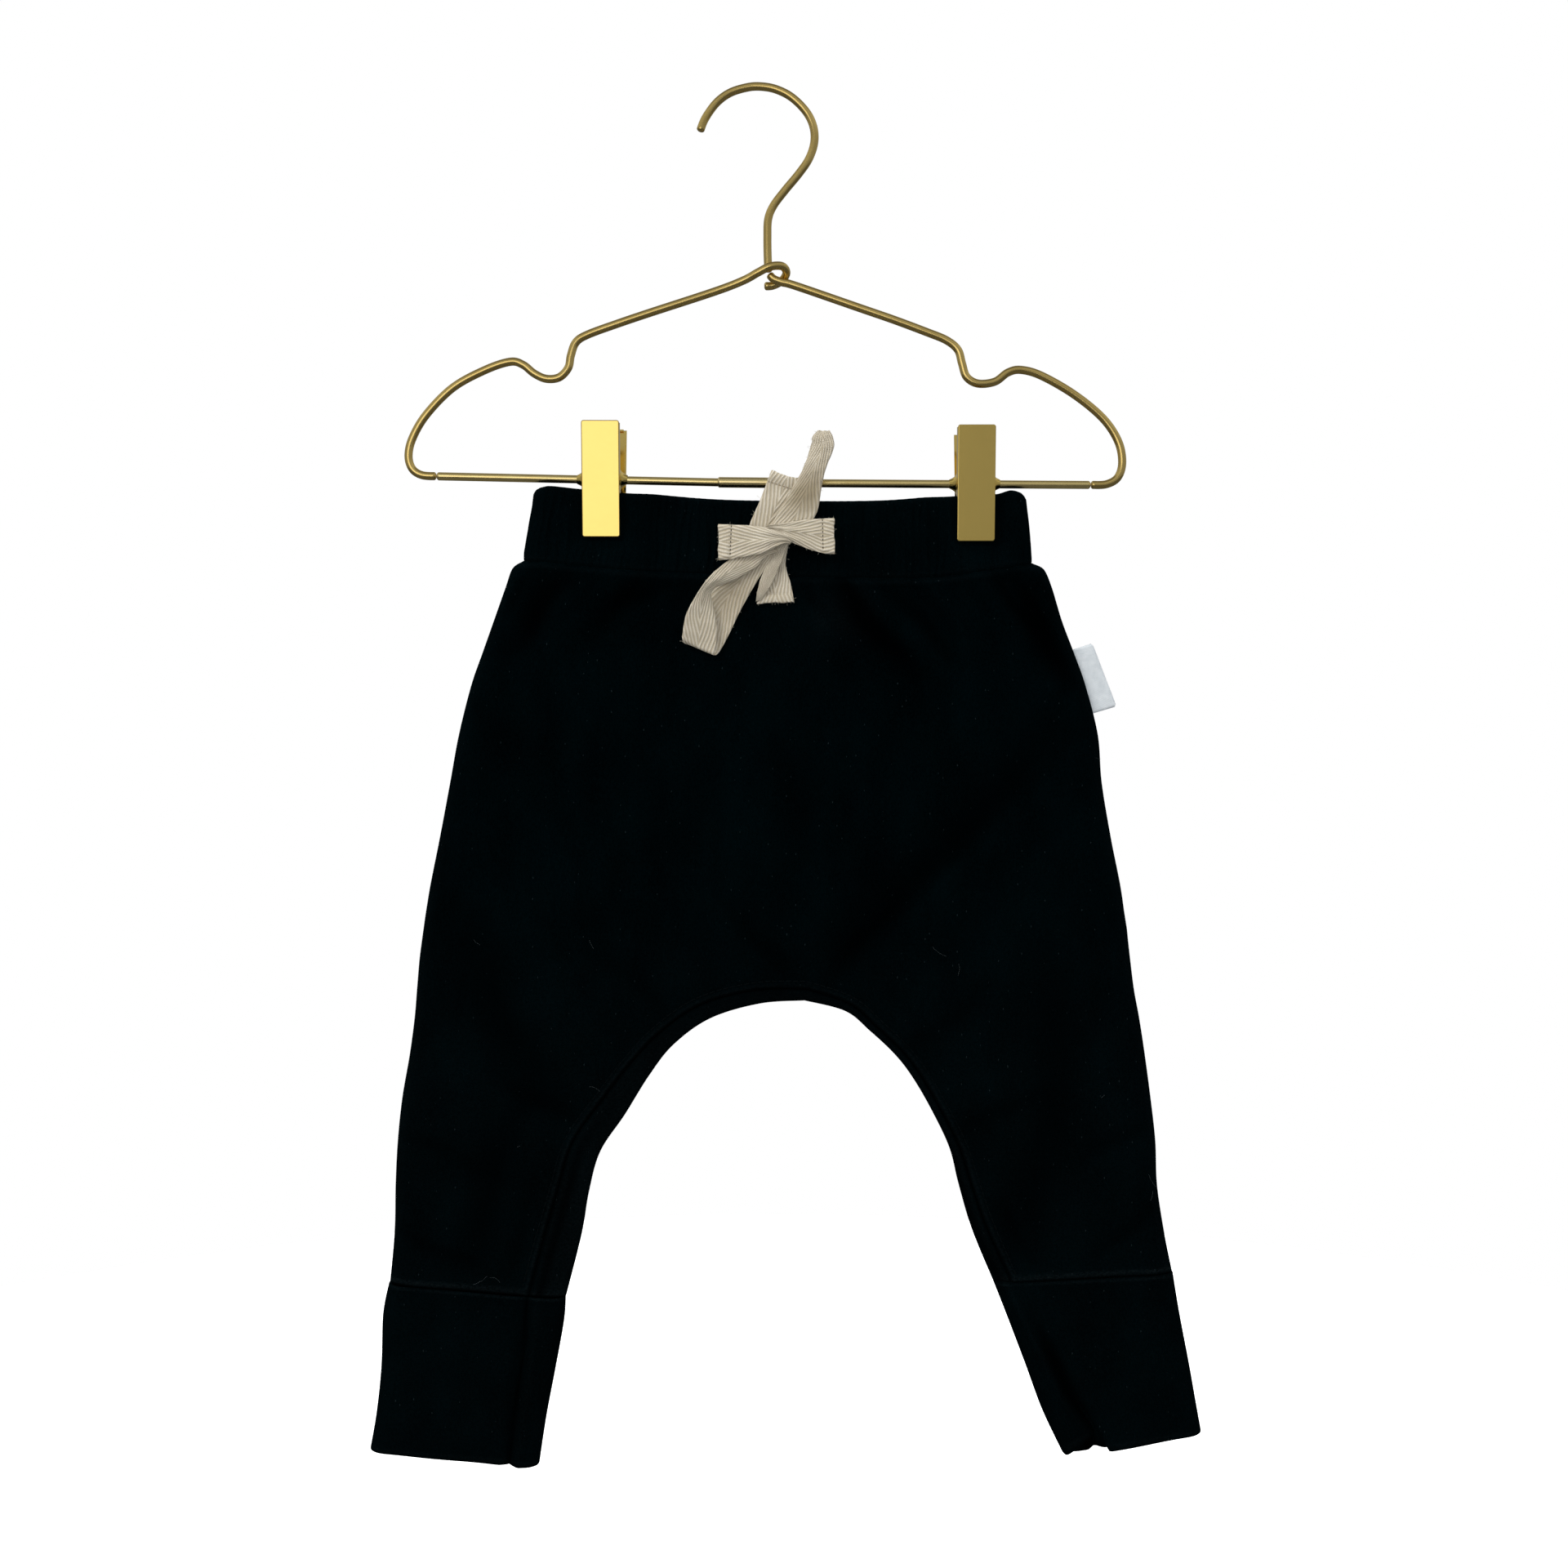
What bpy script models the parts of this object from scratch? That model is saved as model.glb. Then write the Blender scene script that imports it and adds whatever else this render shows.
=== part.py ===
"""Baby joggers held on a child's wire hanger by two box clips.

The frame: the origin is where a rod carries the hook, +X runs to the right seen from the front, +Z up, and
the garment's front faces -Y. Every size below is in millimetres, and MM turns it into metres.
"""

import math
from collections import namedtuple

import bmesh
import bpy

MM = 0.001

# ---------------------------------------------------------------- driving sizes
SEAM_GAP = 0.3  # between pieces that are sewn or rest on each other
HALF_GAP = SEAM_GAP / 2
KNIT_WALL = 1.6
BAND_WALL = 2.4  # doubled knit over elastic
CUFF_WALL = 2.2  # doubled knit
BODY_ROUND = 12.0  # how far in from an edge the body cloth rounds away
BAND_DEPTH = 7.0  # half the band's thickness, front to back
BAND_GATHERS = 128  # all round
GATHER_POINTS = 3  # a crest and two points of its trough
GATHER_RISE = 0.45
GATHER_TROUGH = 0.55  # a trough's depth, as a part of the rise
GATHER_VARIES = 0.3  # how unlike each other the gathers are
TOP_GATHER = 0.6  # what is left of the gathers at the band's top fold
TOP_THIN = 0.5  # how much thinner the band's wall is there
CUFF_DEPTH = 5.8
CUFF_ROUND = 7.0
TAPE_THICK = 1.0
WIRE_RADIUS = 1.6
SLEEVE_RADIUS = 2.2
CLIP_WIDTH = 15.6
CLIP_HEIGHT = 48.0
CLIP_PLATE = 1.0
JAW_DEPTH = 2.9  # half the pinched band's thickness

# ---------------------------------------------------------------- the cut of the front and back
# A row for each section across one half, from its side seam to the centre line or, from the row named by
# CROTCH_ROW down, to the edge of the crotch arch. depth is half the thickness there, and roll is how far
# the inseam has rolled to the front of that edge.
Section = namedtuple("Section", "side_x side_z inner_x inner_z depth roll")
CROTCH_ROW = 12

LEFT_SECTIONS = [
    Section(-98.3, -195.9, 9.0, -202.8, 7.2, 0.0),
    Section(-102.8, -199.2, 9.2, -206.0, 7.9, 0.0),
    Section(-105.7, -207.1, 9.8, -214.0, 7.7, 0.0),
    Section(-110.5, -220.7, 10.8, -228.0, 7.6, 0.0),
    Section(-115.3, -234.3, 11.8, -243.0, 7.6, 0.0),
    Section(-120.0, -247.9, 12.8, -259.0, 7.6, 0.0),
    Section(-125.1, -268.3, 14.0, -281.0, 7.6, 0.0),
    Section(-128.7, -288.0, 15.2, -305.0, 7.6, 0.0),
    Section(-133.0, -311.0, 16.4, -331.0, 7.6, 0.0),
    Section(-136.8, -330.0, 17.6, -354.0, 7.5, 0.0),
    Section(-138.8, -342.0, 18.2, -364.0, 7.4, 0.0),
    Section(-139.8, -349.0, 18.5, -371.5, 7.4, 0.0),
    Section(-140.5, -354.0, 18.7, -378.8, 7.3, 5.5),
    Section(-141.5, -362.0, 0.0, -380.1, 7.3, 6.5),
    Section(-142.5, -374.0, -20.4, -386.2, 7.2, 7.5),
    Section(-143.5, -386.0, -35.7, -397.1, 7.2, 8.0),
    Section(-145.5, -401.0, -45.9, -410.0, 7.1, 9.5),
    Section(-148.6, -419.0, -56.1, -426.4, 6.9, 11.5),
    Section(-150.5, -437.0, -66.3, -441.7, 6.7, 12.0),
    Section(-151.4, -455.0, -71.0, -458.5, 6.4, 12.5),
    Section(-151.8, -474.0, -74.0, -476.0, 6.1, 14.5),
    Section(-153.7, -495.4, -80.4, -501.3, 5.8, 15.0),
]
RIGHT_SECTIONS = [
    Section(113.6, -196.9, 9.0, -202.8, 7.2, 0.0),
    Section(118.4, -199.6, 9.2, -206.0, 7.9, 0.0),
    Section(121.7, -207.1, 9.8, -214.0, 7.7, 0.0),
    Section(125.8, -220.7, 10.8, -228.0, 7.6, 0.0),
    Section(130.9, -234.3, 11.8, -243.0, 7.6, 0.0),
    Section(135.7, -247.9, 12.8, -259.0, 7.6, 0.0),
    Section(140.8, -268.3, 14.0, -281.0, 7.6, 0.0),
    Section(142.4, -288.0, 15.2, -305.0, 7.6, 0.0),
    Section(146.2, -311.0, 16.4, -331.0, 7.6, 0.0),
    Section(150.0, -330.0, 17.6, -354.0, 7.5, 0.0),
    Section(151.8, -342.0, 18.2, -364.0, 7.4, 0.0),
    Section(152.9, -349.0, 18.5, -371.5, 7.4, 0.0),
    Section(153.4, -354.0, 18.7, -378.8, 7.3, 5.5),
    Section(154.3, -362.0, 35.7, -383.2, 7.3, 4.0),
    Section(155.8, -374.0, 46.0, -391.5, 7.2, 3.5),
    Section(158.0, -386.0, 56.1, -401.0, 7.2, 3.5),
    Section(160.3, -401.0, 63.5, -410.5, 7.1, 3.5),
    Section(162.7, -419.0, 71.4, -424.0, 6.9, 3.5),
    Section(164.7, -437.0, 79.0, -440.0, 6.7, 4.0),
    Section(165.4, -455.0, 82.8, -455.0, 6.4, 5.0),
    Section(168.2, -474.0, 88.4, -474.0, 6.1, 6.0),
    Section(171.6, -491.0, 97.0, -494.8, 5.8, 7.0),
]
# Where the columns of the wall's net stand along a section, as parts of its length.
COLUMNS = [0.0, 0.01, 0.035, 0.085, 0.16, 0.26, 0.37, 0.48, 0.59, 0.70, 0.80, 0.88, 0.945, 0.985, 1.0]
ROLL_STEPS = 3  # strips of the rolled inseam, from the arch's edge to its seam
ROLL_SPREAD = 1.4  # more than 1 sets those strips closer to the edge
ROLL_FIRST_ROW = 6  # the front's centre line starts to rise here towards its rolled inseam
ROLL_ROWS = 4.0
SAG_ROWS = 5.0  # sections over which the waist seam's sag fades out

# The height of the waist seam and of the band's top edge, across the front. Both sag between the clips.
EdgePoint = namedtuple("EdgePoint", "x z")
WAIST_SEAM = [
    EdgePoint(-104.0, -195.6),
    EdgePoint(-70.7, -198.6),
    EdgePoint(-44.5, -200.9),
    EdgePoint(9.0, -202.8),
    EdgePoint(51.0, -203.6),
    EdgePoint(75.0, -202.8),
    EdgePoint(119.0, -196.4),
]
BAND_TOP = [
    EdgePoint(-96.0, -166.6),
    EdgePoint(-85.0, -165.6),
    EdgePoint(-56.8, -167.8),
    EdgePoint(-21.1, -171.0),
    EdgePoint(8.0, -171.8),
    EdgePoint(51.0, -171.6),
    EdgePoint(80.9, -169.2),
    EdgePoint(98.5, -168.3),
    EdgePoint(104.4, -167.0),
    EdgePoint(112.0, -168.8),
]
# The band's left and right ends at its top fold, just under it, below the jaws and at the seam.
BandRing = namedtuple("BandRing", "part_down left_x right_x inset")
BAND_RINGS = [
    BandRing(0.0, -92.6, 109.6, 0.9),
    BandRing(0.07, -93.8, 110.9, 0.0),
    BandRing(0.6, -96.0, 112.6, 0.0),
    BandRing(1.0, -98.0, 113.3, 0.0),
]

# The largest folds. Each runs from one point to another; a negative depth is a ridge.
Fold = namedtuple("Fold", "x1 z1 x2 z2 width depth")
FRONT_FOLDS = [
    Fold(34.0, -206.0, 64.0, -243.0, 5.5, 2.0),
    Fold(44.0, -205.0, 76.0, -247.0, 5.0, -0.8),
    Fold(56.0, -211.0, 79.0, -235.0, 4.5, 1.3),
    Fold(103.0, -204.0, 131.0, -244.0, 5.5, 2.0),
    Fold(-41.0, -206.0, -71.0, -225.0, 6.0, 1.6),
    Fold(-78.0, -204.0, -102.0, -232.0, 6.0, 1.6),
    Fold(-55.0, -204.0, -88.0, -236.0, 6.0, -0.7),
    Fold(120.0, -267.0, 41.0, -355.0, 9.0, 1.3),
    Fold(132.0, -280.0, 70.0, -352.0, 9.0, -0.7),
    Fold(-120.0, -345.0, -88.0, -420.0, 10.0, 1.0),
    Fold(-98.0, -425.0, -122.0, -486.0, 7.0, 1.0),
    Fold(128.0, -372.0, 112.0, -470.0, 10.0, 1.0),
]
BACK_FOLDS = [
    Fold(30.0, -207.0, 52.0, -240.0, 6.0, 1.6),
    Fold(78.0, -205.0, 110.0, -236.0, 6.0, 1.6),
    Fold(-34.0, -206.0, -58.0, -238.0, 6.0, 1.6),
    Fold(-80.0, -203.0, -104.0, -230.0, 6.0, 1.4),
    Fold(-6.0, -262.0, 4.0, -345.0, 12.0, 1.0),
    Fold(108.0, -290.0, 52.0, -362.0, 9.0, 1.2),
    Fold(-104.0, -300.0, -30.0, -365.0, 9.0, 1.2),
    Fold(-118.0, -392.0, -104.0, -470.0, 9.0, 1.0),
    Fold(124.0, -392.0, 128.0, -470.0, 9.0, 1.0),
]
FOLD_SHORE = 9.0  # folds fade out this near to an edge
FOLD_END = 0.35  # a fold's depth at its ends, as a part of the depth at its middle

# ---------------------------------------------------------------- cuffs
# A row for each ring, from the seam down to the hem. valley is the place of the inseam's valley on the
# front, as a part of the ring's width from the outer side, and valley_depth how far it dips.
CuffRing = namedtuple("CuffRing", "outer_x outer_z inner_x inner_z valley valley_depth")
LEFT_CUFF = [
    CuffRing(-154.1, -495.9, -80.6, -501.8, 0.79, 0.8),
    CuffRing(-156.6, -509.0, -81.3, -512.0, 0.79, 1.6),
    CuffRing(-157.3, -530.0, -84.9, -532.0, 0.80, 2.2),
    CuffRing(-159.2, -549.0, -88.6, -551.5, 0.81, 2.2),
    CuffRing(-161.8, -565.1, -91.5, -571.4, 0.825, 1.8),
]
RIGHT_CUFF = [
    CuffRing(171.9, -491.5, 97.2, -495.3, 0.88, 0.6),
    CuffRing(174.6, -508.0, 102.6, -509.0, 0.87, 1.2),
    CuffRing(178.6, -529.0, 110.4, -529.5, 0.83, 2.6),
    CuffRing(181.6, -546.0, 117.6, -549.0, 0.79, 2.8),
    CuffRing(183.6, -557.9, 125.8, -567.0, 0.765, 2.8),
]
CUFF_FRONT = [0.0, 0.012, 0.05, 0.12, 0.22, 0.34, 0.46, 0.58]  # columns short of the valley
CUFF_VALLEY = [-0.07, -0.03, 0.0, 0.03, 0.065]  # columns either side of the valley
CUFF_END = [0.35, 0.75, 0.95]  # columns past it, as parts of what is left
CUFF_BACK = [1.0, 0.985, 0.95, 0.86, 0.72, 0.56, 0.40, 0.25, 0.12, 0.04, 0.01]
RIGHT_NOTCH = 7.5  # how far the right hem's front rises at the valley

# ---------------------------------------------------------------- side label
LABEL_CORNERS = [
    EdgePoint(131.4, -232.4),
    EdgePoint(140.6, -258.8),
    EdgePoint(148.0, -256.2),
    EdgePoint(139.3, -231.0),
]
LABEL_THICK = 1.2

# ---------------------------------------------------------------- bow
KNOT_X, KNOT_Z = 6.2, -189.0
# A row for each place along a tape: both its edges, from the knot's centre, and how far they stand out.
TapeRow = namedtuple("TapeRow", "ax az ay bx bz by cup")
TAIL_UP = [
    TapeRow(-2.0, 27.4, 8.5, 12.4, 24.0, 8.5, 0.0),
    TapeRow(-6.0, 16.7, 8.5, 8.0, 12.4, 8.5, 0.0),
    TapeRow(-10.4, 6.3, 8.5, 3.3, 2.3, 8.5, 0.0),
    TapeRow(-9.5, 3.4, 8.5, 3.4, 0.6, 8.5, 0.0),
]
LOOP_UP = [
    TapeRow(-3.3, 2.3, 11.6, 12.4, 4.7, 11.6, 0.0),
    TapeRow(1.7, 11.4, 11.8, 17.4, 11.4, 11.8, 0.4),
    TapeRow(7.3, 20.7, 12.0, 19.4, 22.0, 12.4, 0.9),
    TapeRow(11.7, 29.1, 12.0, 21.0, 29.1, 12.6, 1.1),
    TapeRow(15.4, 38.5, 11.9, 24.0, 38.2, 12.2, 0.9),
    TapeRow(16.6, 42.6, 11.4, 23.2, 42.8, 11.6, 0.2),
    TapeRow(16.6, 42.6, 10.0, 22.6, 42.8, 10.0, 0.0),
    TapeRow(15.2, 37.5, 9.5, 21.4, 36.7, 9.5, 0.0),
    TapeRow(12.0, 30.0, 9.7, 18.7, 27.4, 9.7, 0.0),
    TapeRow(5.7, 19.0, 10.0, 14.0, 17.4, 10.0, 0.0),
    TapeRow(-1.0, 4.5, 10.1, 9.0, 3.3, 10.1, 0.0),
]
LOOP_DOWN = [
    TapeRow(-14.4, -3.3, 12.2, -2.7, -7.3, 12.0, 0.0),
    TapeRow(-18.4, -8.0, 12.8, -8.0, -11.4, 12.2, 0.3),
    TapeRow(-25.0, -13.7, 14.6, -17.0, -16.4, 11.6, 0.8),
    TapeRow(-30.4, -20.7, 16.0, -25.7, -20.7, 11.4, 1.2),
    TapeRow(-35.7, -30.1, 14.6, -24.4, -29.4, 11.6, 1.0),
    TapeRow(-37.4, -37.7, 12.6, -23.0, -38.7, 11.8, 0.4),
    TapeRow(-37.4, -41.0, 11.3, -22.7, -46.6, 11.3, 0.0),
    TapeRow(-36.4, -41.0, 9.4, -21.4, -46.0, 9.4, 0.0),
    TapeRow(-30.1, -31.7, 8.9, -17.7, -37.7, 8.9, 0.0),
    TapeRow(-25.4, -20.0, 9.0, -13.0, -26.7, 8.9, 0.0),
    TapeRow(-16.7, -12.0, 9.7, -5.6, -14.0, 9.9, 0.0),
    TapeRow(-9.0, -6.2, 10.4, -1.4, -8.0, 10.4, 0.0),
]
TAIL_DOWN = [
    TapeRow(0.7, -0.6, 8.8, 6.0, -0.6, 8.8, 0.3),
    TapeRow(-1.3, -9.4, 8.8, 4.7, -9.4, 8.8, 0.3),
    TapeRow(-4.7, -17.4, 8.8, 6.7, -17.4, 8.8, 0.2),
    TapeRow(-6.7, -25.7, 8.8, 8.0, -25.0, 8.8, 0.0),
]
TIE_RIGHT = [
    TapeRow(24.4, 9.0, 12.4, 24.7, -5.7, 12.4, 0.0),
    TapeRow(19.7, 8.7, 12.7, 20.0, -5.3, 12.7, 0.1),
    TapeRow(14.0, 8.4, 13.1, 14.0, -3.7, 13.0, 0.3),
    TapeRow(6.7, 7.3, 13.2, 6.7, -0.7, 13.1, 0.5),
    TapeRow(0.0, 6.3, 13.2, 0.0, 2.8, 13.1, 0.2),
    TapeRow(-3.5, 5.7, 12.9, -3.5, 3.6, 12.9, 0.1),
]
TIE_LEFT = [
    TapeRow(-22.7, 6.3, 13.8, -22.7, -8.4, 13.8, 0.0),
    TapeRow(-17.4, 6.0, 14.2, -18.0, -8.0, 14.2, 0.1),
    TapeRow(-11.0, 5.7, 14.6, -11.7, -7.0, 14.6, 0.3),
    TapeRow(-4.7, 5.0, 14.9, -4.7, -5.7, 14.9, 0.5),
    TapeRow(0.7, 3.2, 15.0, 0.7, -3.0, 15.0, 0.5),
    TapeRow(5.3, 1.4, 14.8, 4.7, -1.5, 14.8, 0.2),
    TapeRow(7.3, -0.2, 14.5, 6.4, -2.0, 14.5, 0.1),
]

# ---------------------------------------------------------------- hanger
# The places that each stretch of bent wire runs through, as x, y, z.
HOOK_ROUTE = [
    (-24.8, 0.0, -17.0), (-22.6, 0.0, -11.6), (-18.0, 0.0, -5.2), (-12.4, 0.0, -1.0), (-5.6, 0.0, 1.2),
    (0.0, 0.0, 1.7), (6.6, 0.0, 0.6), (13.4, 0.0, -2.8), (19.4, 0.0, -8.8), (22.4, 0.0, -15.0),
    (22.8, 0.0, -21.6), (20.6, 0.0, -28.4), (16.4, 0.0, -34.6), (10.6, 0.0, -41.6), (5.8, 0.0, -48.0),
    (3.6, 0.0, -53.6), (3.3, 0.0, -61.0), (3.4, 0.0, -69.0), (3.7, 0.0, -75.6),
]
LEFT_SHOULDER_ROUTE = [
    (2.0, 3.7, -80.4), (5.6, 3.9, -80.0), (9.4, 2.9, -78.2), (11.2, 0.0, -75.8), (9.4, -2.8, -74.0),
    (4.4, -3.6, -74.4), (-0.6, -2.8, -76.6), (-6.8, -0.9, -79.4), (-18.7, 0.0, -83.7), (-45.9, 0.0, -92.6),
    (-59.5, 0.0, -97.2), (-71.5, 0.0, -101.6), (-76.4, 0.0, -104.8), (-78.5, 0.0, -110.2),
    (-79.6, 0.0, -115.4), (-83.4, 0.0, -119.4), (-88.8, 0.0, -120.0), (-93.8, 0.0, -117.8),
    (-98.4, 0.0, -114.2), (-103.7, 0.0, -112.9), (-113.9, 0.0, -116.2), (-127.5, 0.0, -123.6),
    (-138.6, 0.0, -134.8), (-144.4, 0.0, -144.6), (-146.1, 0.0, -152.0), (-144.6, 0.0, -157.4),
    (-140.6, 0.0, -160.1), (-134.6, 0.0, -160.6),
]
RIGHT_SHOULDER_ROUTE = [
    (4.0, 0.0, -76.4), (5.8, 0.0, -78.4), (9.4, 0.0, -79.8), (15.3, 0.0, -81.4), (42.5, 0.0, -90.8),
    (56.1, 0.0, -95.5), (69.7, 0.0, -100.6), (77.9, 0.0, -104.0), (82.6, 0.0, -108.0), (84.3, 0.0, -113.6),
    (86.2, 0.0, -119.2), (91.0, 0.0, -122.0), (98.0, 0.0, -121.2), (103.4, 0.0, -117.4),
    (108.8, 0.0, -116.3), (117.3, 0.0, -118.7), (130.9, 0.0, -126.5), (142.8, 0.0, -136.3),
    (149.2, 0.0, -145.8), (151.0, 0.0, -154.6), (149.2, 0.0, -161.0), (144.4, 0.0, -163.9),
    (138.0, 0.0, -164.2),
]
LEFT_BAR = [(-134.3, 0.0, -160.6), (-17.8, 0.0, -163.1)]
SLEEVE = [(-17.5, 0.0, -163.1), (24.0, 0.0, -163.5)]
RIGHT_BAR = [(24.3, 0.0, -163.5), (137.7, 0.0, -164.2)]
WIRE_POINTS_PER_SPAN = 3

Clip = namedtuple("Clip", "side x z")
CLIPS = [Clip("left", -65.4, -162.0), Clip("right", 89.5, -163.8)]
PLATE_OUT = 7.2  # how far a plate's middle stands from the bar
PLATE_TILT = 5.5  # degrees; the jaws close on the band and the grips stand open
PLATE_CORNER = 1.3
CHEEK_X = {"front": 6.9, "back": 5.6}
CHEEK_THICK = 0.8
CHEEK_TALL = 7.4
CHEEK_REACH = 2.6  # how far a cheek passes the bar
BORE_RADIUS = 1.95
COIL_HALF = 4.9  # half the spring's length along the bar
COIL_RADIUS = 3.4
BOSS_RADIUS = 3.6
BOSS_TIP_RADIUS = 2.5
BOSS_LENGTH = 2.6  # from a cheek's middle
TURNED_SIDES = 16
PAD_SIZE = (13.4, 0.9, 9.0)
PAD_DROP = 18.0  # from the bar down to the pad's middle
PAD_GAP = 0.5  # from the pinched band to a pad
PINCH_HALF = 9.0
PINCH_FADE = 15.0
PINCH_END = 0.6  # how far down the band the jaws reach, as a part of its height
BAND_LOW_PINCH = 0.25  # what is left of the pinch at the waist seam
PINCH_FLATTEN = 0.8  # how far the jaws press the gathers flat
TROUGH_TALL = 24.0  # the hollow that hangs below each clip
TROUGH_DEPTH = 1.5


# ---------------------------------------------------------------- small tools
def smooth(part):
    """0 to 1 with level ends."""
    part = min(1.0, max(0.0, part))
    return part * part * (3.0 - 2.0 * part)


def height_along(edge, x):
    """The height of an edge at x, on a smooth curve through its points."""
    if x <= edge[0].x:
        return edge[0].z
    for k in range(len(edge) - 1):
        a, b = edge[k], edge[k + 1]
        if x > b.x:
            continue
        before = edge[max(k - 1, 0)]
        after = edge[min(k + 2, len(edge) - 1)]
        span = b.x - a.x
        slope_a = (b.z - before.z) / (b.x - before.x) * span
        slope_b = (after.z - a.z) / (after.x - a.x) * span
        t = (x - a.x) / span
        return (
            (2 * t**3 - 3 * t**2 + 1) * a.z
            + (t**3 - 2 * t**2 + t) * slope_a
            + (3 * t**2 - 2 * t**3) * b.z
            + (t**3 - t**2) * slope_b
        )
    return edge[-1].z


def curve_value(p, q, r, s, t):
    """A smooth curve through four values, read at a part t of the way from the second to the third."""
    square = (2 * p - 5 * q + 4 * r - s) * t**2
    cube = (3 * q - p - 3 * r + s) * t**3
    return 0.5 * (2 * q + (r - p) * t + square + cube)


def smooth_rows(rows, per_span):
    """Rows of numbers with others set between them, on a smooth curve through the first ones."""
    result = []
    last = len(rows) - 1
    for k in range(last):
        before, a, b, after = rows[max(k - 1, 0)], rows[k], rows[k + 1], rows[min(k + 2, last)]
        for step in range(per_span):
            t = step / per_span
            result.append(tuple(curve_value(p, q, r, s, t) for p, q, r, s in zip(before, a, b, after)))
    result.append(tuple(rows[-1]))
    return result


def clip_pinch(x):
    """How far a clip has closed the band at x, from 0 to 1."""
    return max(smooth(1.0 - (abs(x - clip.x) - PINCH_HALF) / PINCH_FADE) for clip in CLIPS)


# ---------------------------------------------------------------- building meshes and objects
class Finish:
    """Makes each material once, and puts it on objects."""

    LOOKS = {
        "black_knit": ((0.0055, 0.0065, 0.0070), 0.92, 0.0),
        "cream_tape": ((0.69, 0.60, 0.46), 0.88, 0.0),
        "white_satin": ((0.58, 0.61, 0.63), 0.45, 0.0),
        "satin_gold": ((0.60, 0.44, 0.17), 0.32, 1.0),
        "black_rubber": ((0.012, 0.012, 0.012), 0.7, 0.0),
    }

    @classmethod
    def named(cls, name):
        if name in bpy.data.materials:
            return bpy.data.materials[name]
        colour, roughness, metallic = cls.LOOKS[name]
        material = bpy.data.materials.new(name)
        material.use_nodes = True
        shader = material.node_tree.nodes["Principled BSDF"]
        shader.inputs["Base Color"].default_value = (*colour, 1.0)
        shader.inputs["Roughness"].default_value = roughness
        shader.inputs["Metallic"].default_value = metallic
        return material


def collection_named(name):
    collection = bpy.data.collections.new(name)
    bpy.context.scene.collection.children.link(collection)
    return collection


def mesh_object(name, points, faces, finish, collection):
    """A closed mesh from points in millimetres, its faces turned outwards."""
    shape = bmesh.new()
    corners = [shape.verts.new([c * MM for c in point]) for point in points]
    for face in faces:
        shape.faces.new([corners[i] for i in face])
    bmesh.ops.triangulate(shape, faces=shape.faces[:])
    bmesh.ops.recalc_face_normals(shape, faces=shape.faces[:])
    mesh = bpy.data.meshes.new(name)
    shape.to_mesh(mesh)
    shape.free()
    mesh.shade_smooth()
    mesh.set_sharp_from_angle(angle=math.radians(50))
    return dress(bpy.data.objects.new(name, mesh), finish, collection)


def dress(item, finish, collection):
    item.data.materials.append(Finish.named(finish))
    collection.objects.link(item)
    return item


def wall_faces(faces, count):
    """The faces of a wall: one layer, the same layer inside it, and rims along their open borders."""
    uses = {}
    for face in faces:
        for a, b in zip(face, face[1:] + face[:1]):
            uses.setdefault(frozenset((a, b)), []).append((a, b))
    result = list(faces) + [[count + i for i in reversed(face)] for face in faces]
    result += [[b, a, count + a, count + b] for (a, b), *more in uses.values() if not more]
    return result


def ring_faces(first, second, near, far):
    """Faces between two closed rings of points. near and far are where they start in the point list, and the
    first ring has a whole number of points for each point of the second."""
    ratio = first // second
    faces = []
    for k in range(second):
        start = k * ratio
        middle = start + ratio // 2
        a, b = far + k, far + (k + 1) % second
        if ratio == 1:
            faces.append([near + start, near + (start + 1) % first, b, a])
            continue
        for step in range(ratio):
            one, two = near + start + step, near + (start + step + 1) % first
            faces.append([one, two, a if start + step < middle else b])
        faces.append([near + middle, b, a])
    return faces


# ---------------------------------------------------------------- the body's form
class Outline:
    """The edges where the body cloth rounds away, each with the cloth on its left hand."""

    def __init__(self):
        left = [(s.side_x, s.side_z) for s in LEFT_SECTIONS]
        right = [(s.side_x, s.side_z) for s in reversed(RIGHT_SECTIONS)]
        arch = [(s.inner_x, s.inner_z) for s in reversed(LEFT_SECTIONS[CROTCH_ROW:])]
        arch += [(s.inner_x, s.inner_z) for s in RIGHT_SECTIONS[CROTCH_ROW + 1:]]
        self.lines = [left, arch, right]
        self.inward = {}
        for line in self.lines:
            for k, point in enumerate(line):
                before, after = line[max(k - 1, 0)], line[min(k + 1, len(line) - 1)]
                dx, dz = after[0] - before[0], after[1] - before[1]
                length = math.hypot(dx, dz)
                self.inward[point] = (-dz / length, dx / length)

    def nearest(self, x, z):
        """The distance to the nearest edge and the direction away from it."""
        best = (1e9, (0.0, 1.0))
        for line in self.lines:
            for (ax, az), (bx, bz) in zip(line, line[1:]):
                dx, dz = bx - ax, bz - az
                t = ((x - ax) * dx + (z - az) * dz) / (dx * dx + dz * dz)
                t = min(1.0, max(0.0, t))
                away_x, away_z = x - ax - t * dx, z - az - t * dz
                distance = math.hypot(away_x, away_z)
                if 1e-6 < distance < best[0]:
                    best = (distance, (away_x / distance, away_z / distance))
        return best


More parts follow.
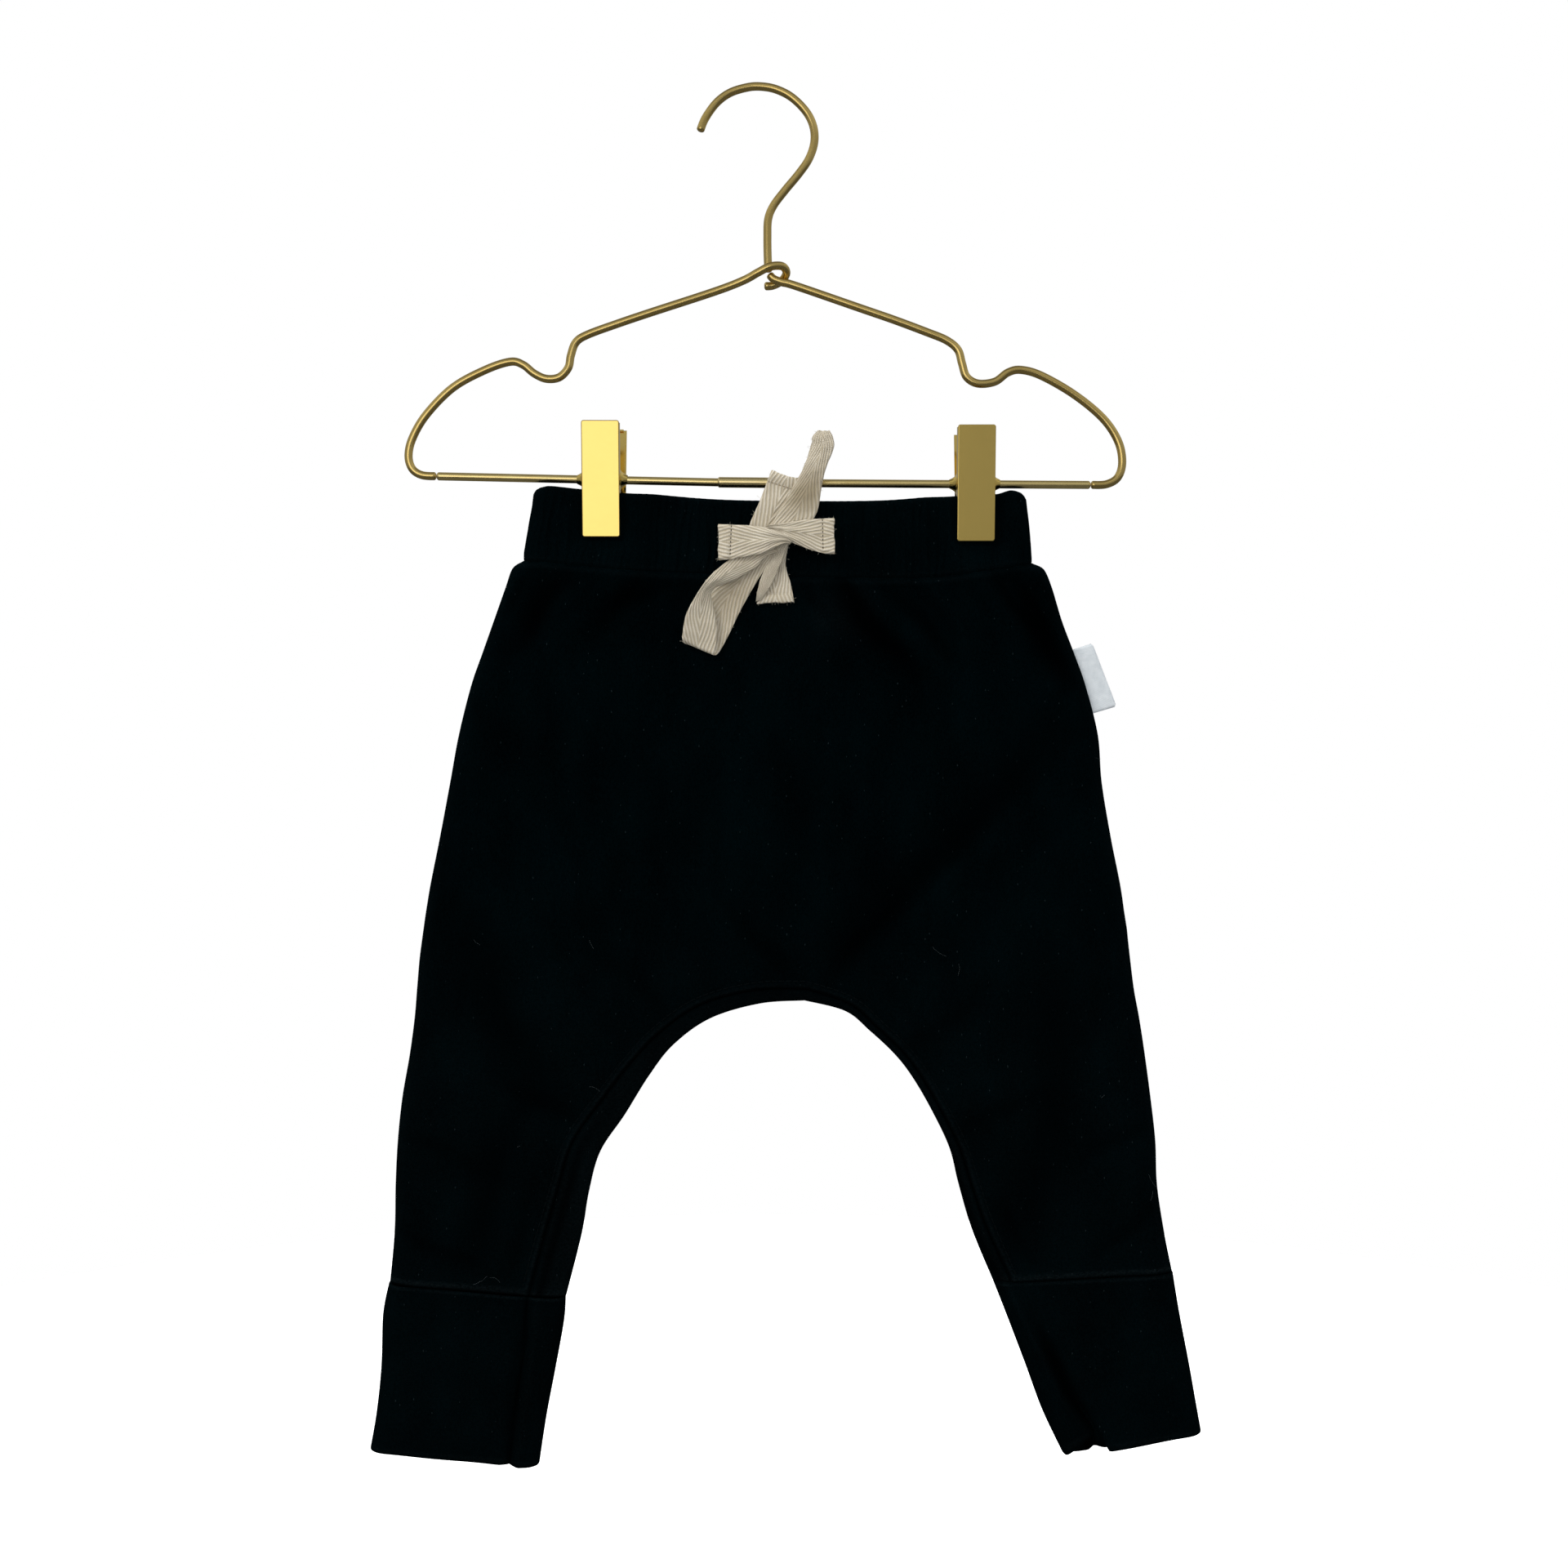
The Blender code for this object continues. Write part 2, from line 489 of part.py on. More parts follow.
def fold_relief(folds, x, z, distance):
    """How far the folds raise (or, below 0, sink) the cloth at a place this far from an edge."""
    rise = 0.0
    for fold in folds:
        dx, dz = fold.x2 - fold.x1, fold.z2 - fold.z1
        t = ((x - fold.x1) * dx + (z - fold.z1) * dz) / (dx * dx + dz * dz)
        along = min(1.0, max(0.0, t))
        off = math.hypot(x - fold.x1 - along * dx, z - fold.z1 - along * dz)
        taper = FOLD_END + (1.0 - FOLD_END) * math.sin(math.pi * (0.1 + 0.8 * along))
        rise -= fold.depth * taper * math.exp(-((off / fold.width) ** 2))
    return rise * smooth(distance / FOLD_SHORE)


def body_point(x, z, depth, distance, away, side, relief):
    """The outer point of the body wall at a place, and the inner point behind it. side is -1 at the front."""
    reach = 1.0 - min(distance, BODY_ROUND) / BODY_ROUND
    swell = depth * math.sqrt(max(0.0, 1.0 - reach * reach))
    across, out = -reach / BODY_ROUND, swell / depth**2
    length = math.hypot(across, out)
    across, out = across / length, out / length
    x_in, z_in = x - away[0] * across * KNIT_WALL, z - away[1] * across * KNIT_WALL
    y_out = max(swell + relief, HALF_GAP) * side
    y_in = max(swell + relief - out * KNIT_WALL, HALF_GAP) * side
    return (x, y_out, z), (x_in, y_in, z_in)


class BodyPanel:
    """The front or the back: two half nets joined along the centre line, with the back's rolled inseam."""

    def __init__(self, name, side, folds, outline):
        self.name, self.side, self.folds, self.outline = name, side, folds, outline
        self.outer, self.inner, self.faces, self.index = [], [], [], {}

    def add(self, key, x, z, depth, distance, away, side=None):
        """Adds a point of the wall, or finds the one already at this key."""
        if key not in self.index:
            side = side or self.side
            relief = fold_relief(self.folds, x, z, distance)
            under_clip = clip_pinch(x) * smooth(1.0 - (height_along(WAIST_SEAM, x) - z) / TROUGH_TALL)
            relief -= TROUGH_DEPTH * under_clip * smooth(distance / FOLD_SHORE)
            outer, inner = body_point(x, z, depth, distance, away, side, relief)
            self.index[key] = len(self.outer)
            self.outer.append(outer)
            self.inner.append(inner)
        return self.index[key]

    def half(self, sections, half):
        """One half's net, from its side seam to the centre line and the arch."""
        top_line = sections[0]
        net = []
        for row, section in enumerate(sections):
            away = self.outline.inward.get((section.inner_x, section.inner_z), (0.0, 1.0))
            end_x, end_z, end_distance = section.inner_x, section.inner_z, None
            if row >= CROTCH_ROW:
                end_distance = 0.0
                if self.side < 0:
                    end_distance = section.roll
                    end_x += away[0] * section.roll
                    end_z += away[1] * section.roll
            elif self.side < 0:
                rise = LEFT_SECTIONS[CROTCH_ROW].roll * row / CROTCH_ROW
                end_z += rise * smooth((row - ROLL_FIRST_ROW) / ROLL_ROWS)
            line = []
            for column, part in enumerate(COLUMNS):
                x = section.side_x + (end_x - section.side_x) * part
                z = section.side_z + (end_z - section.side_z) * part
                sag = height_along(WAIST_SEAM, x) - HALF_GAP
                straight = top_line.side_z + (top_line.inner_z - top_line.side_z) * part
                if column > 0:
                    z += (sag - straight) * smooth(1.0 - row / SAG_ROWS)
                centre = column == len(COLUMNS) - 1 and row <= CROTCH_ROW
                key = ("centre", row) if centre else (half, row, column)
                if column == 0:
                    place = (0.0, self.outline.inward[(section.side_x, section.side_z)])
                elif column == len(COLUMNS) - 1 and end_distance is not None:
                    place = (end_distance, away)
                else:
                    place = self.outline.nearest(x, z)
                line.append(self.add(key, x, z, section.depth, *place))
            net.append(line)
        for upper, lower in zip(net, net[1:]):
            for k in range(len(COLUMNS) - 1):
                self.faces.append([upper[k], lower[k], lower[k + 1], upper[k + 1]])
        return net

    def rolled_inseam(self, sections, half, net):
        """The strip of the back that wraps the arch's edge and ends at the seam on the front."""
        rows = []
        for row in range(CROTCH_ROW, len(sections)):
            section = sections[row]
            away = self.outline.inward[(section.inner_x, section.inner_z)]
            line = [net[row][-1]]
            for step in range(1, ROLL_STEPS + 1):
                offset = (section.roll - SEAM_GAP) * (step / ROLL_STEPS) ** ROLL_SPREAD
                key = ("roll", step) if row == CROTCH_ROW else (half, "roll", row, step)
                x = section.inner_x + away[0] * offset
                z = section.inner_z + away[1] * offset
                line.append(self.add(key, x, z, section.depth, offset, away, -1))
            rows.append(line)
        for upper, lower in zip(rows, rows[1:]):
            for k in range(ROLL_STEPS):
                self.faces.append([upper[k], lower[k], lower[k + 1], upper[k + 1]])

    def build(self, collection):
        left = self.half(LEFT_SECTIONS, "left")
        right = self.half(RIGHT_SECTIONS, "right")
        if self.side > 0:
            self.rolled_inseam(LEFT_SECTIONS, "left", left)
            self.rolled_inseam(RIGHT_SECTIONS, "right", right)
        faces = wall_faces(self.faces, len(self.outer))
        return mesh_object(self.name, self.outer + self.inner, faces, "black_knit", collection)


# ---------------------------------------------------------------- the waistband
def band_place(part_round, ring, inset):
    """A point of a band ring, and how far it is pinched. part_round runs from 0 at the left end, across the
    front and back again."""
    half_width = (ring.right_x - ring.left_x) / 2
    middle = (ring.right_x + ring.left_x) / 2
    straight = 2 * (half_width - BAND_DEPTH)
    bend = math.pi * BAND_DEPTH
    run = (part_round % 1.0) * 2 * (straight + bend)
    side, run = (-1, run) if run < straight + bend else (1, run - straight - bend)
    if run < bend / 2:
        angle = run / BAND_DEPTH
        across, out = -half_width + BAND_DEPTH * (1 - math.cos(angle)), math.sin(angle)
        normal = (-math.cos(angle), math.sin(angle))
    elif run < bend / 2 + straight:
        across, out = -half_width + BAND_DEPTH + run - bend / 2, 1.0
        normal = (0.0, 1.0)
    else:
        angle = (run - bend / 2 - straight) / BAND_DEPTH
        across, out = half_width - BAND_DEPTH * (1 - math.sin(angle)), math.cos(angle)
        normal = (math.sin(angle), math.cos(angle))
    if side > 0:
        across, normal = -across, (-normal[0], normal[1])
    x = middle + across
    top, bottom = height_along(BAND_TOP, x), height_along(WAIST_SEAM, x) + HALF_GAP
    z = top + (bottom - top) * ring.part_down
    below_jaws = smooth((ring.part_down - PINCH_END) / (1.0 - PINCH_END))
    pinch = clip_pinch(x) * (1.0 - (1.0 - BAND_LOW_PINCH) * below_jaws)
    depth = BAND_DEPTH + (JAW_DEPTH - BAND_DEPTH) * pinch
    return (x - normal[0] * inset, (out * depth - normal[1] * inset) * side, z), pinch


def gather_rise(k, part_down):
    """The height of gather point k. No two gathers are quite alike."""
    wave = k // GATHER_POINTS
    size = 1.0 + GATHER_VARIES * math.sin(2.1 * wave) * math.cos(0.7 * wave + 5.0 * part_down)
    return GATHER_RISE * size * (1.0 if k % GATHER_POINTS == 0 else -GATHER_TROUGH)


def waistband(collection):
    """A tube with gathers raised in its outer points over a plain inside."""
    outside = GATHER_POINTS * BAND_GATHERS
    points, faces, rings = [], [], []
    for ring in BAND_RINGS:
        rings.append((outside, len(points)))
        for k in range(outside):
            _, pinch = band_place(k / outside, ring, 0.0)
            left = (1.0 - PINCH_FLATTEN * pinch) * (TOP_GATHER if ring.part_down == 0.0 else 1.0)
            place, _ = band_place(k / outside, ring, ring.inset - gather_rise(k, ring.part_down) * left)
            points.append(place)
    for ring in [BAND_RINGS[3], BAND_RINGS[2], BAND_RINGS[0]]:
        rings.append((BAND_GATHERS, len(points)))
        wall = BAND_WALL if ring.part_down > 0.0 else BAND_WALL - TOP_THIN
        for k in range(BAND_GATHERS):
            place, _ = band_place(k / BAND_GATHERS, ring, wall)
            points.append(place)
    for (count, start), (next_count, next_start) in zip(rings, rings[1:]):
        faces += ring_faces(count, next_count, start, next_start)
    inside, first = rings[-1][1], rings[0][1]
    faces += [face[::-1] for face in ring_faces(outside, BAND_GATHERS, first, inside)]
    return mesh_object("waistband", points, faces, "black_knit", collection)


# ---------------------------------------------------------------- cuffs
def cuff_columns(valley):
    """Places round a cuff: parts of its width across the front, the side, and each one's valley share."""
    front = [(part, 0.0) for part in CUFF_FRONT]
    shares = [0.0, 0.55, 1.0, 0.55, 0.0]
    front += [(valley + offset, share) for offset, share in zip(CUFF_VALLEY, shares)]
    last = valley + CUFF_VALLEY[-1]
    front += [(last + (1.0 - last) * part, 0.0) for part in CUFF_END]
    return [(part, -1, share) for part, share in front] + [(part, 1, 0.0) for part in CUFF_BACK]


def cuff(name, rings, notch, collection):
    """A doubled tube with the inseam's valley down its front; notch lifts the front hem there."""
    outer, inner, faces = [], [], []
    for row, ring in enumerate(rings):
        dx, dz = ring.inner_x - ring.outer_x, ring.inner_z - ring.outer_z
        width = math.hypot(dx, dz)
        for part, side, share in cuff_columns(ring.valley):
            distance = min(part, 1.0 - part) * width
            toward = 1.0 if part < 0.5 else -1.0
            reach = 1.0 - min(distance, CUFF_ROUND) / CUFF_ROUND
            swell = CUFF_DEPTH * math.sqrt(max(0.0, 1.0 - reach * reach))
            across, out = -reach / CUFF_ROUND, swell / CUFF_DEPTH**2
            length = math.hypot(across, out)
            across, out = across / length, out / length
            lift = notch * share if row == len(rings) - 1 else 0.0
            x, z = ring.outer_x + dx * part, ring.outer_z + dz * part + lift
            y = swell - ring.valley_depth * share
            step = -across * CUFF_WALL * toward / width
            outer.append((x, y * side, z))
            inner.append((x + dx * step, (y - out * CUFF_WALL) * side, z + dz * step))
    count = len(cuff_columns(rings[0].valley))
    for row in range(len(rings) - 1):
        for k in range(count):
            a, b = row * count + k, row * count + (k + 1) % count
            faces.append([a, a + count, b + count, b])
    faces = wall_faces(faces, len(outer))
    return mesh_object(name, outer + inner, faces, "black_knit", collection)


# ---------------------------------------------------------------- label and bow
def side_label(collection):
    """A small folded label that stands out of the right side seam."""
    points = [(p.x, y * LABEL_THICK / 2, p.z) for y in (-1, 1) for p in LABEL_CORNERS]
    faces = [[0, 1, 2, 3], [7, 6, 5, 4]] + [[k, k + 4, (k + 1) % 4 + 4, (k + 1) % 4] for k in range(4)]
    label = mesh_object("side_label", points, faces, "white_satin", collection)
    edge = label.modifiers.new("soft_edge", "BEVEL")
    edge.width = 0.3 * MM
    edge.segments = 1
    return label


def tape(name, rows, per_span, collection):
    """A flat tape through rows of paired edges, with a middle line that its cup moves forward."""
    centre = []
    for row in smooth_rows(rows, per_span):
        row = TapeRow(*row)
        a = (KNOT_X + row.ax, -row.ay, KNOT_Z + row.az)
        b = (KNOT_X + row.bx, -row.by, KNOT_Z + row.bz)
        middle = ((a[0] + b[0]) / 2, (a[1] + b[1]) / 2 - row.cup, (a[2] + b[2]) / 2)
        centre.append((a, middle, b))
    front, back, faces = [], [], []
    for k, line in enumerate(centre):
        before, after = centre[max(k - 1, 0)], centre[min(k + 1, len(centre) - 1)]
        for j, point in enumerate(line):
            along = [q - p for p, q in zip(before[j], after[j])]
            across = [q - p for p, q in zip(line[max(j - 1, 0)], line[min(j + 1, 2)])]
            normal = [
                along[1] * across[2] - along[2] * across[1],
                along[2] * across[0] - along[0] * across[2],
                along[0] * across[1] - along[1] * across[0],
            ]
            length = math.sqrt(sum(n * n for n in normal))
            front.append(tuple(c + n / length * TAPE_THICK / 2 for c, n in zip(point, normal)))
            back.append(tuple(c - n / length * TAPE_THICK / 2 for c, n in zip(point, normal)))
    for k in range(len(centre) - 1):
        for j in range(2):
            a = k * 3 + j
            faces.append([a, a + 3, a + 4, a + 1])
    faces = wall_faces(faces, len(front))
    return mesh_object(name, front + back, faces, "cream_tape", collection)


def bow(collection):
    tape("bow_tail_up", TAIL_UP, 1, collection)
    tape("bow_loop_up", LOOP_UP, 2, collection)
    tape("bow_loop_down", LOOP_DOWN, 2, collection)
    tape("bow_tail_down", TAIL_DOWN, 2, collection)
    tape("bow_tie_right", TIE_RIGHT, 2, collection)
    tape("bow_tie_left", TIE_LEFT, 2, collection)


# ---------------------------------------------------------------- hanger
def wire(name, route, radius, per_span, collection):
    """A round wire along a smooth route."""
    curve = bpy.data.curves.new(name, "CURVE")
    curve.dimensions = "3D"
    curve.bevel_depth = radius * MM
    curve.bevel_resolution = 2
    curve.use_fill_caps = True
    places = smooth_rows(route, per_span) if per_span > 1 else route
    line = curve.splines.new("POLY")
    line.points.add(len(places) - 1)
    for point, place in zip(line.points, places):
        point.co = (*[c * MM for c in place], 1.0)
    return dress(bpy.data.objects.new(name, curve), "satin_gold", collection)


def block(name, size, centre, corner, finish, collection):
    """A box with the four corners of its face rounded."""
    shape = bmesh.new()
    bmesh.ops.create_cube(shape, size=1.0)
    for vertex in shape.verts:
        vertex.co = [c * s * MM for c, s in zip(vertex.co, size)]
    if corner:
        edges = [e for e in shape.edges if abs(e.verts[0].co.y - e.verts[1].co.y) > 0.5 * size[1] * MM]
        bmesh.ops.bevel(shape, geom=edges, offset=corner * MM, segments=3, profile=0.5, affect="EDGES")
    mesh = bpy.data.meshes.new(name)
    shape.to_mesh(mesh)
    shape.free()
    item = dress(bpy.data.objects.new(name, mesh), finish, collection)
    item.location = [c * MM for c in centre]
    return item


def cone(name, left_radius, right_radius, length, centre, collection):
    """A round bar along X, to cut a bore or to add a boss."""
    shape = bmesh.new()
    bmesh.ops.create_cone(
        shape,
        cap_ends=True,
        segments=TURNED_SIDES,
        radius1=left_radius * MM,
        radius2=right_radius * MM,
        depth=length * MM,
    )
    mesh = bpy.data.meshes.new(name)
    shape.to_mesh(mesh)
    shape.free()
    item = bpy.data.objects.new(name, mesh)
    collection.objects.link(item)
    item.rotation_euler = (0.0, math.radians(90), 0.0)
    item.location = [c * MM for c in centre]
    return item


def as_helper(item):
    item.hide_render = True
    item.display_type = "WIRE"
    return item


def boolean(item, other, operation):
    step = item.modifiers.new(operation.lower(), "BOOLEAN")
    step.operation = operation
    step.object = other


def clip_plate(clip, face, collection, helpers):
    """A tilted plate with two cheeks that the bar runs through. The front one's cheeks have bosses."""
    side = -1 if face == "front" else 1
    name = f"clip_{clip.side}_{face}_plate"
    size = (CLIP_WIDTH, CLIP_PLATE, CLIP_HEIGHT)
    plate = block(name, size, (clip.x, side * PLATE_OUT, clip.z), PLATE_CORNER, "satin_gold", collection)
    plate.rotation_euler = (math.radians(-PLATE_TILT * side), 0.0, 0.0)
    reach = PLATE_OUT + CHEEK_REACH
    size = (CHEEK_THICK, reach, CHEEK_TALL)
    for hand in (-1, 1):
        centre = (clip.x + hand * CHEEK_X[face], side * (PLATE_OUT - reach / 2), clip.z)
        cheek = block(f"{name}_cheek_{hand}", size, centre, 0.0, "satin_gold", helpers)
        boolean(plate, as_helper(cheek), "UNION")
        if face == "front":
            centre = (clip.x + hand * (CHEEK_X[face] + BOSS_LENGTH / 2), 0.0, clip.z)
            radii = (BOSS_RADIUS, BOSS_TIP_RADIUS)[::hand]
            boss = cone(f"{name}_boss_{hand}", *radii, BOSS_LENGTH, centre, helpers)
            boolean(plate, as_helper(boss), "UNION")
    bore = cone(f"{name}_bore", BORE_RADIUS, BORE_RADIUS, 2 * CLIP_WIDTH, (clip.x, 0.0, clip.z), helpers)
    boolean(plate, as_helper(bore), "DIFFERENCE")
    return plate


def turned(name, profile, clip, collection):
    """A turned ring round the bar, from a profile of places along the bar and radii."""
    points, faces = [], []
    for turn in range(TURNED_SIDES):
        angle = 2 * math.pi * turn / TURNED_SIDES
        for along, radius in profile:
            points.append((clip.x + along, radius * math.sin(angle), clip.z + radius * math.cos(angle)))
    count = len(profile)
    for turn in range(TURNED_SIDES):
        here, there = turn * count, (turn + 1) % TURNED_SIDES * count
        for k in range(count):
            after = (k + 1) % count
            faces.append([here + k, here + after, there + after, there + k])
    return mesh_object(name, points, faces, "satin_gold", collection)


def box_clip(clip, collection, helpers):
    clip_plate(clip, "front", collection, helpers)
    clip_plate(clip, "back", collection, helpers)
    coil = [
        (-COIL_HALF, BORE_RADIUS),
        (-COIL_HALF, COIL_RADIUS),
        (COIL_HALF, COIL_RADIUS),
        (COIL_HALF, BORE_RADIUS),
    ]
    turned(f"clip_{clip.side}_spring", coil, clip, collection)
    for face, side in (("front", -1), ("back", 1)):
        out = JAW_DEPTH + PAD_GAP + PAD_SIZE[1] / 2
        centre = (clip.x, side * out, clip.z - PAD_DROP)
        block(f"clip_{clip.side}_{face}_pad", PAD_SIZE, centre, 0.0, "black_rubber", collection)


def hanger(collection, helpers):
    wire("hook", HOOK_ROUTE, WIRE_RADIUS, WIRE_POINTS_PER_SPAN, collection)
    wire("shoulder_left", LEFT_SHOULDER_ROUTE, WIRE_RADIUS, WIRE_POINTS_PER_SPAN, collection)
    wire("shoulder_right", RIGHT_SHOULDER_ROUTE, WIRE_RADIUS, WIRE_POINTS_PER_SPAN, collection)
    wire("bar_left", LEFT_BAR, WIRE_RADIUS, 1, collection)
    wire("bar_right", RIGHT_BAR, WIRE_RADIUS, 1, collection)
    wire("bar_sleeve", SLEEVE, SLEEVE_RADIUS, 1, collection)
    for clip in CLIPS:
        box_clip(clip, collection, helpers)


def main():
    for item in list(bpy.data.objects):
        bpy.data.objects.remove(item, do_unlink=True)
    pieces = collection_named("joggers_on_hanger")
    helpers = collection_named("cutters")
    outline = Outline()
    BodyPanel("front_panel", -1, FRONT_FOLDS, outline).build(pieces)
    BodyPanel("back_panel", 1, BACK_FOLDS, outline).build(pieces)
    waistband(pieces)
    cuff("left_cuff", LEFT_CUFF, 0.0, pieces)
    cuff("right_cuff", RIGHT_CUFF, RIGHT_NOTCH, pieces)
    side_label(pieces)
    bow(pieces)
    hanger(pieces, helpers)


main()
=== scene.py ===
"""Baby joggers on a wire clip hanger: every surface that shows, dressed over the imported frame.

Lengths are in millimetres until a mesh is made, and MM turns them into metres. +X is to the right seen from
the front, +Z is up, and the garment's front faces -Y. The origin is where a rod carries the hook.
"""

import logging
import math
from collections.abc import Callable, Sequence
from dataclasses import dataclass, field
from enum import Enum
from typing import NamedTuple, TypeVar

import bmesh
import bpy
import numpy as np
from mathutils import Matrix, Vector


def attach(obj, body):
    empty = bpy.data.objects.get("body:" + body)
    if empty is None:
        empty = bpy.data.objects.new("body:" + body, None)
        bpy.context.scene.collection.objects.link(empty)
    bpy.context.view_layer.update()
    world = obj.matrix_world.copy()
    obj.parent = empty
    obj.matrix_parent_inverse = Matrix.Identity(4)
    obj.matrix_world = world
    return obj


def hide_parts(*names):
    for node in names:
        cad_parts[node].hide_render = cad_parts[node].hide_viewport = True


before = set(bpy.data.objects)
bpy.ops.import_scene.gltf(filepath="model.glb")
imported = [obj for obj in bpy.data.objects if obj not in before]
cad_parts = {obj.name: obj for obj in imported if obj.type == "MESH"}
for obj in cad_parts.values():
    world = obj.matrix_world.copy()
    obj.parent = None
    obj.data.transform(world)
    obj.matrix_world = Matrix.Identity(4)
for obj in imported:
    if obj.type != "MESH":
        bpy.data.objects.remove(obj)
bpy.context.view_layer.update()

LOG = logging.getLogger("joggers")
MM = 0.001
BODY = "root"
Array = np.ndarray
Place = tuple[float, float, float]
Triples = tuple[Place, ...]
Faces = list[list[int]]
Part = tuple[Array, Faces]
Item = bpy.types.Object
Socket = bpy.types.NodeSocket
Row = TypeVar("Row", bound=tuple)


# ==== numbers and curves
def smooth(part: Array | float) -> Array | float:
    """0 to 1 with level ends."""
    part = np.clip(part, 0.0, 1.0)
    return part * part * (3.0 - 2.0 * part)


def bell(offset: Array, width: float) -> Array:
    """A soft bump of height 1 that is this wide."""
    return np.exp(-((offset / width) ** 2))


def unit(ways: Array) -> Array:
    """Directions with their lengths made 1."""
    return ways / np.linalg.norm(ways, axis=-1, keepdims=True)


def ring_turns(count: int) -> Array:
    """Even turns round a ring, in radians."""
    return 2 * math.pi * np.arange(count) / count


def welts(offset: Array, rows: Triples) -> Array:
    """A sum of ridges, each with its height, place and width. A negative height is a ditch."""
    return sum(height * bell(offset - at, width) for height, at, width in rows)


def swings(first: Array, second: Array, rows: Triples) -> Array:
    """A sum of waves, each with its height, its turns along the first way and its drift along the second."""
    return sum(height * np.sin(turns * first + drift * second) for height, turns, drift in rows)


def curve_through(rows: Array, steps: Sequence[int]) -> Array:
    """Sets rows between others, on a smooth curve through them.

    Args:
        rows: One row of numbers for each point that the curve runs through.
        steps: How many rows each span gets, from its first point up to its second.

    Returns:
        The rows of the curve, with the last of the given rows at its end.
    """
    rows = np.asarray(rows, float)
    last = len(rows) - 1
    result = []
    for k, count in enumerate(steps):
        p, q, r, s = rows[max(k - 1, 0)], rows[k], rows[k + 1], rows[min(k + 2, last)]
        t = (np.arange(count) / count)[:, None]
        square = (2 * p - 5 * q + 4 * r - s) * t**2
        cube = (3 * q - p - 3 * r + s) * t**3
        result.append(0.5 * (2 * q + (r - p) * t + square + cube))
    result.append(rows[-1:])
    return np.vstack(result)


def table(kind: Callable[..., Row], *rows: Sequence[float]) -> tuple[Row, ...]:
    """Plain rows of numbers, each made into a row with named parts."""
    return tuple(kind(*map(float, row)) for row in rows)


def crowded(count: int, crowding: float) -> Array:
    """Parts from 0 to 1 that stand closer together near both ends."""
    t = np.linspace(0.0, 1.0, count)
    return t - crowding * np.sin(2 * math.pi * t) / (2 * math.pi)


def ripple(x: Array, z: Array, waves: Triples) -> Array:
    """A sum of long soft waves.

    Args:
        x: Places across.
        z: Heights.
        waves: The length, heading in degrees and height of each wave.

    Returns:
        The rise at each place.
    """
    rise = np.zeros_like(x)
    for k, (length, heading, height) in enumerate(waves):
        turn = math.radians(heading)
        along = x * math.cos(turn) + z * math.sin(turn)
        bend = 0.6 * np.sin((x * math.sin(turn) - z * math.cos(turn)) / (1.7 * length) + k)
        rise += height * np.sin(2 * math.pi * along / length + bend + 1.9 * k)
    return rise


# ==== meshes
def grid_faces(rows: int, columns: int, wrap: bool = False, loop: bool = False) -> Faces:
    """The faces between the points of a net.

    Args:
        rows: How many rows the net has.
        columns: How many points a row has.
        wrap: Whether each row closes on itself.
        loop: Whether the last row joins the first.

    Returns:
        The four corners of each face.
    """
    faces = []
    for row in range(rows if loop else rows - 1):
        here, there = row * columns, (row + 1) % rows * columns
        for k in range(columns if wrap else columns - 1):
            after = (k + 1) % columns
            faces.append([here + k, there + k, there + after, here + after])
    return faces


def add_piece(name: str, data: bpy.types.ID) -> Item:
    """Makes an object of a mesh, curve, light or camera, and links it to the scene."""
    item = bpy.data.objects.new(name, data)
    bpy.context.scene.collection.objects.link(item)
    return item


def end_caps(count: int, last: int) -> Faces:
    """The two end faces of a tube with this many sides, whose last ring starts at this point."""
    return [list(range(count)), [last + k for k in reversed(range(count))]]


def mesh_piece(name: str, points: Array, faces: Faces, crease: float = 180.0) -> Item:
    """Makes an object from points in millimetres.

    Args:
        name: The object's name.
        points: One row for each point.
        faces: The corners of each face.
        crease: Edges sharper than this many degrees stay sharp.

    Returns:
        The object, linked to the scene.
    """
    mesh = bpy.data.meshes.new(name)
    mesh.from_pydata((np.asarray(points, float).reshape(-1, 3) * MM).tolist(), [], faces)
    mesh.shade_smooth()
    if crease < 180.0:
        mesh.set_sharp_from_angle(angle=math.radians(crease))
    return add_piece(name, mesh)


def tidy_mesh(item: Item, merge: float = 0.0) -> None:
    """Joins points that are no further apart than merge, and turns the faces outwards."""
    shape = bmesh.new()
    shape.from_mesh(item.data)
    if merge:
        bmesh.ops.remove_doubles(shape, verts=shape.verts[:], dist=merge * MM)
    bmesh.ops.recalc_face_normals(shape, faces=shape.faces[:])
    shape.to_mesh(item.data)
    shape.free()


def mark(item: Item, name: str, values: Array) -> None:
    """Stores a number on each point for the finish to read."""
    layer = item.data.attributes.new(name, "FLOAT", "POINT")
    layer.data.foreach_set("value", np.asarray(values, np.float32).ravel())


def lay_out(item: Item, flat: Array) -> None:
    """Stores where each point lies on the flat cloth, in metres, as the piece's UV map."""
    layer = item.data.uv_layers.new(name="flat_cloth")
    corners = np.zeros(len(item.data.loops), np.int32)
    item.data.loops.foreach_get("vertex_index", corners)
    layer.data.foreach_set("uv", (flat.reshape(-1, 2)[corners] * MM).astype(np.float32).ravel())


def shell(item: Item, wall: float) -> None:
    """Gives an open surface this thickness, inwards."""
    step = item.modifiers.new("wall", "SOLIDIFY")
    step.thickness = wall * MM
    step.offset = -1.0
    step.use_rim = True


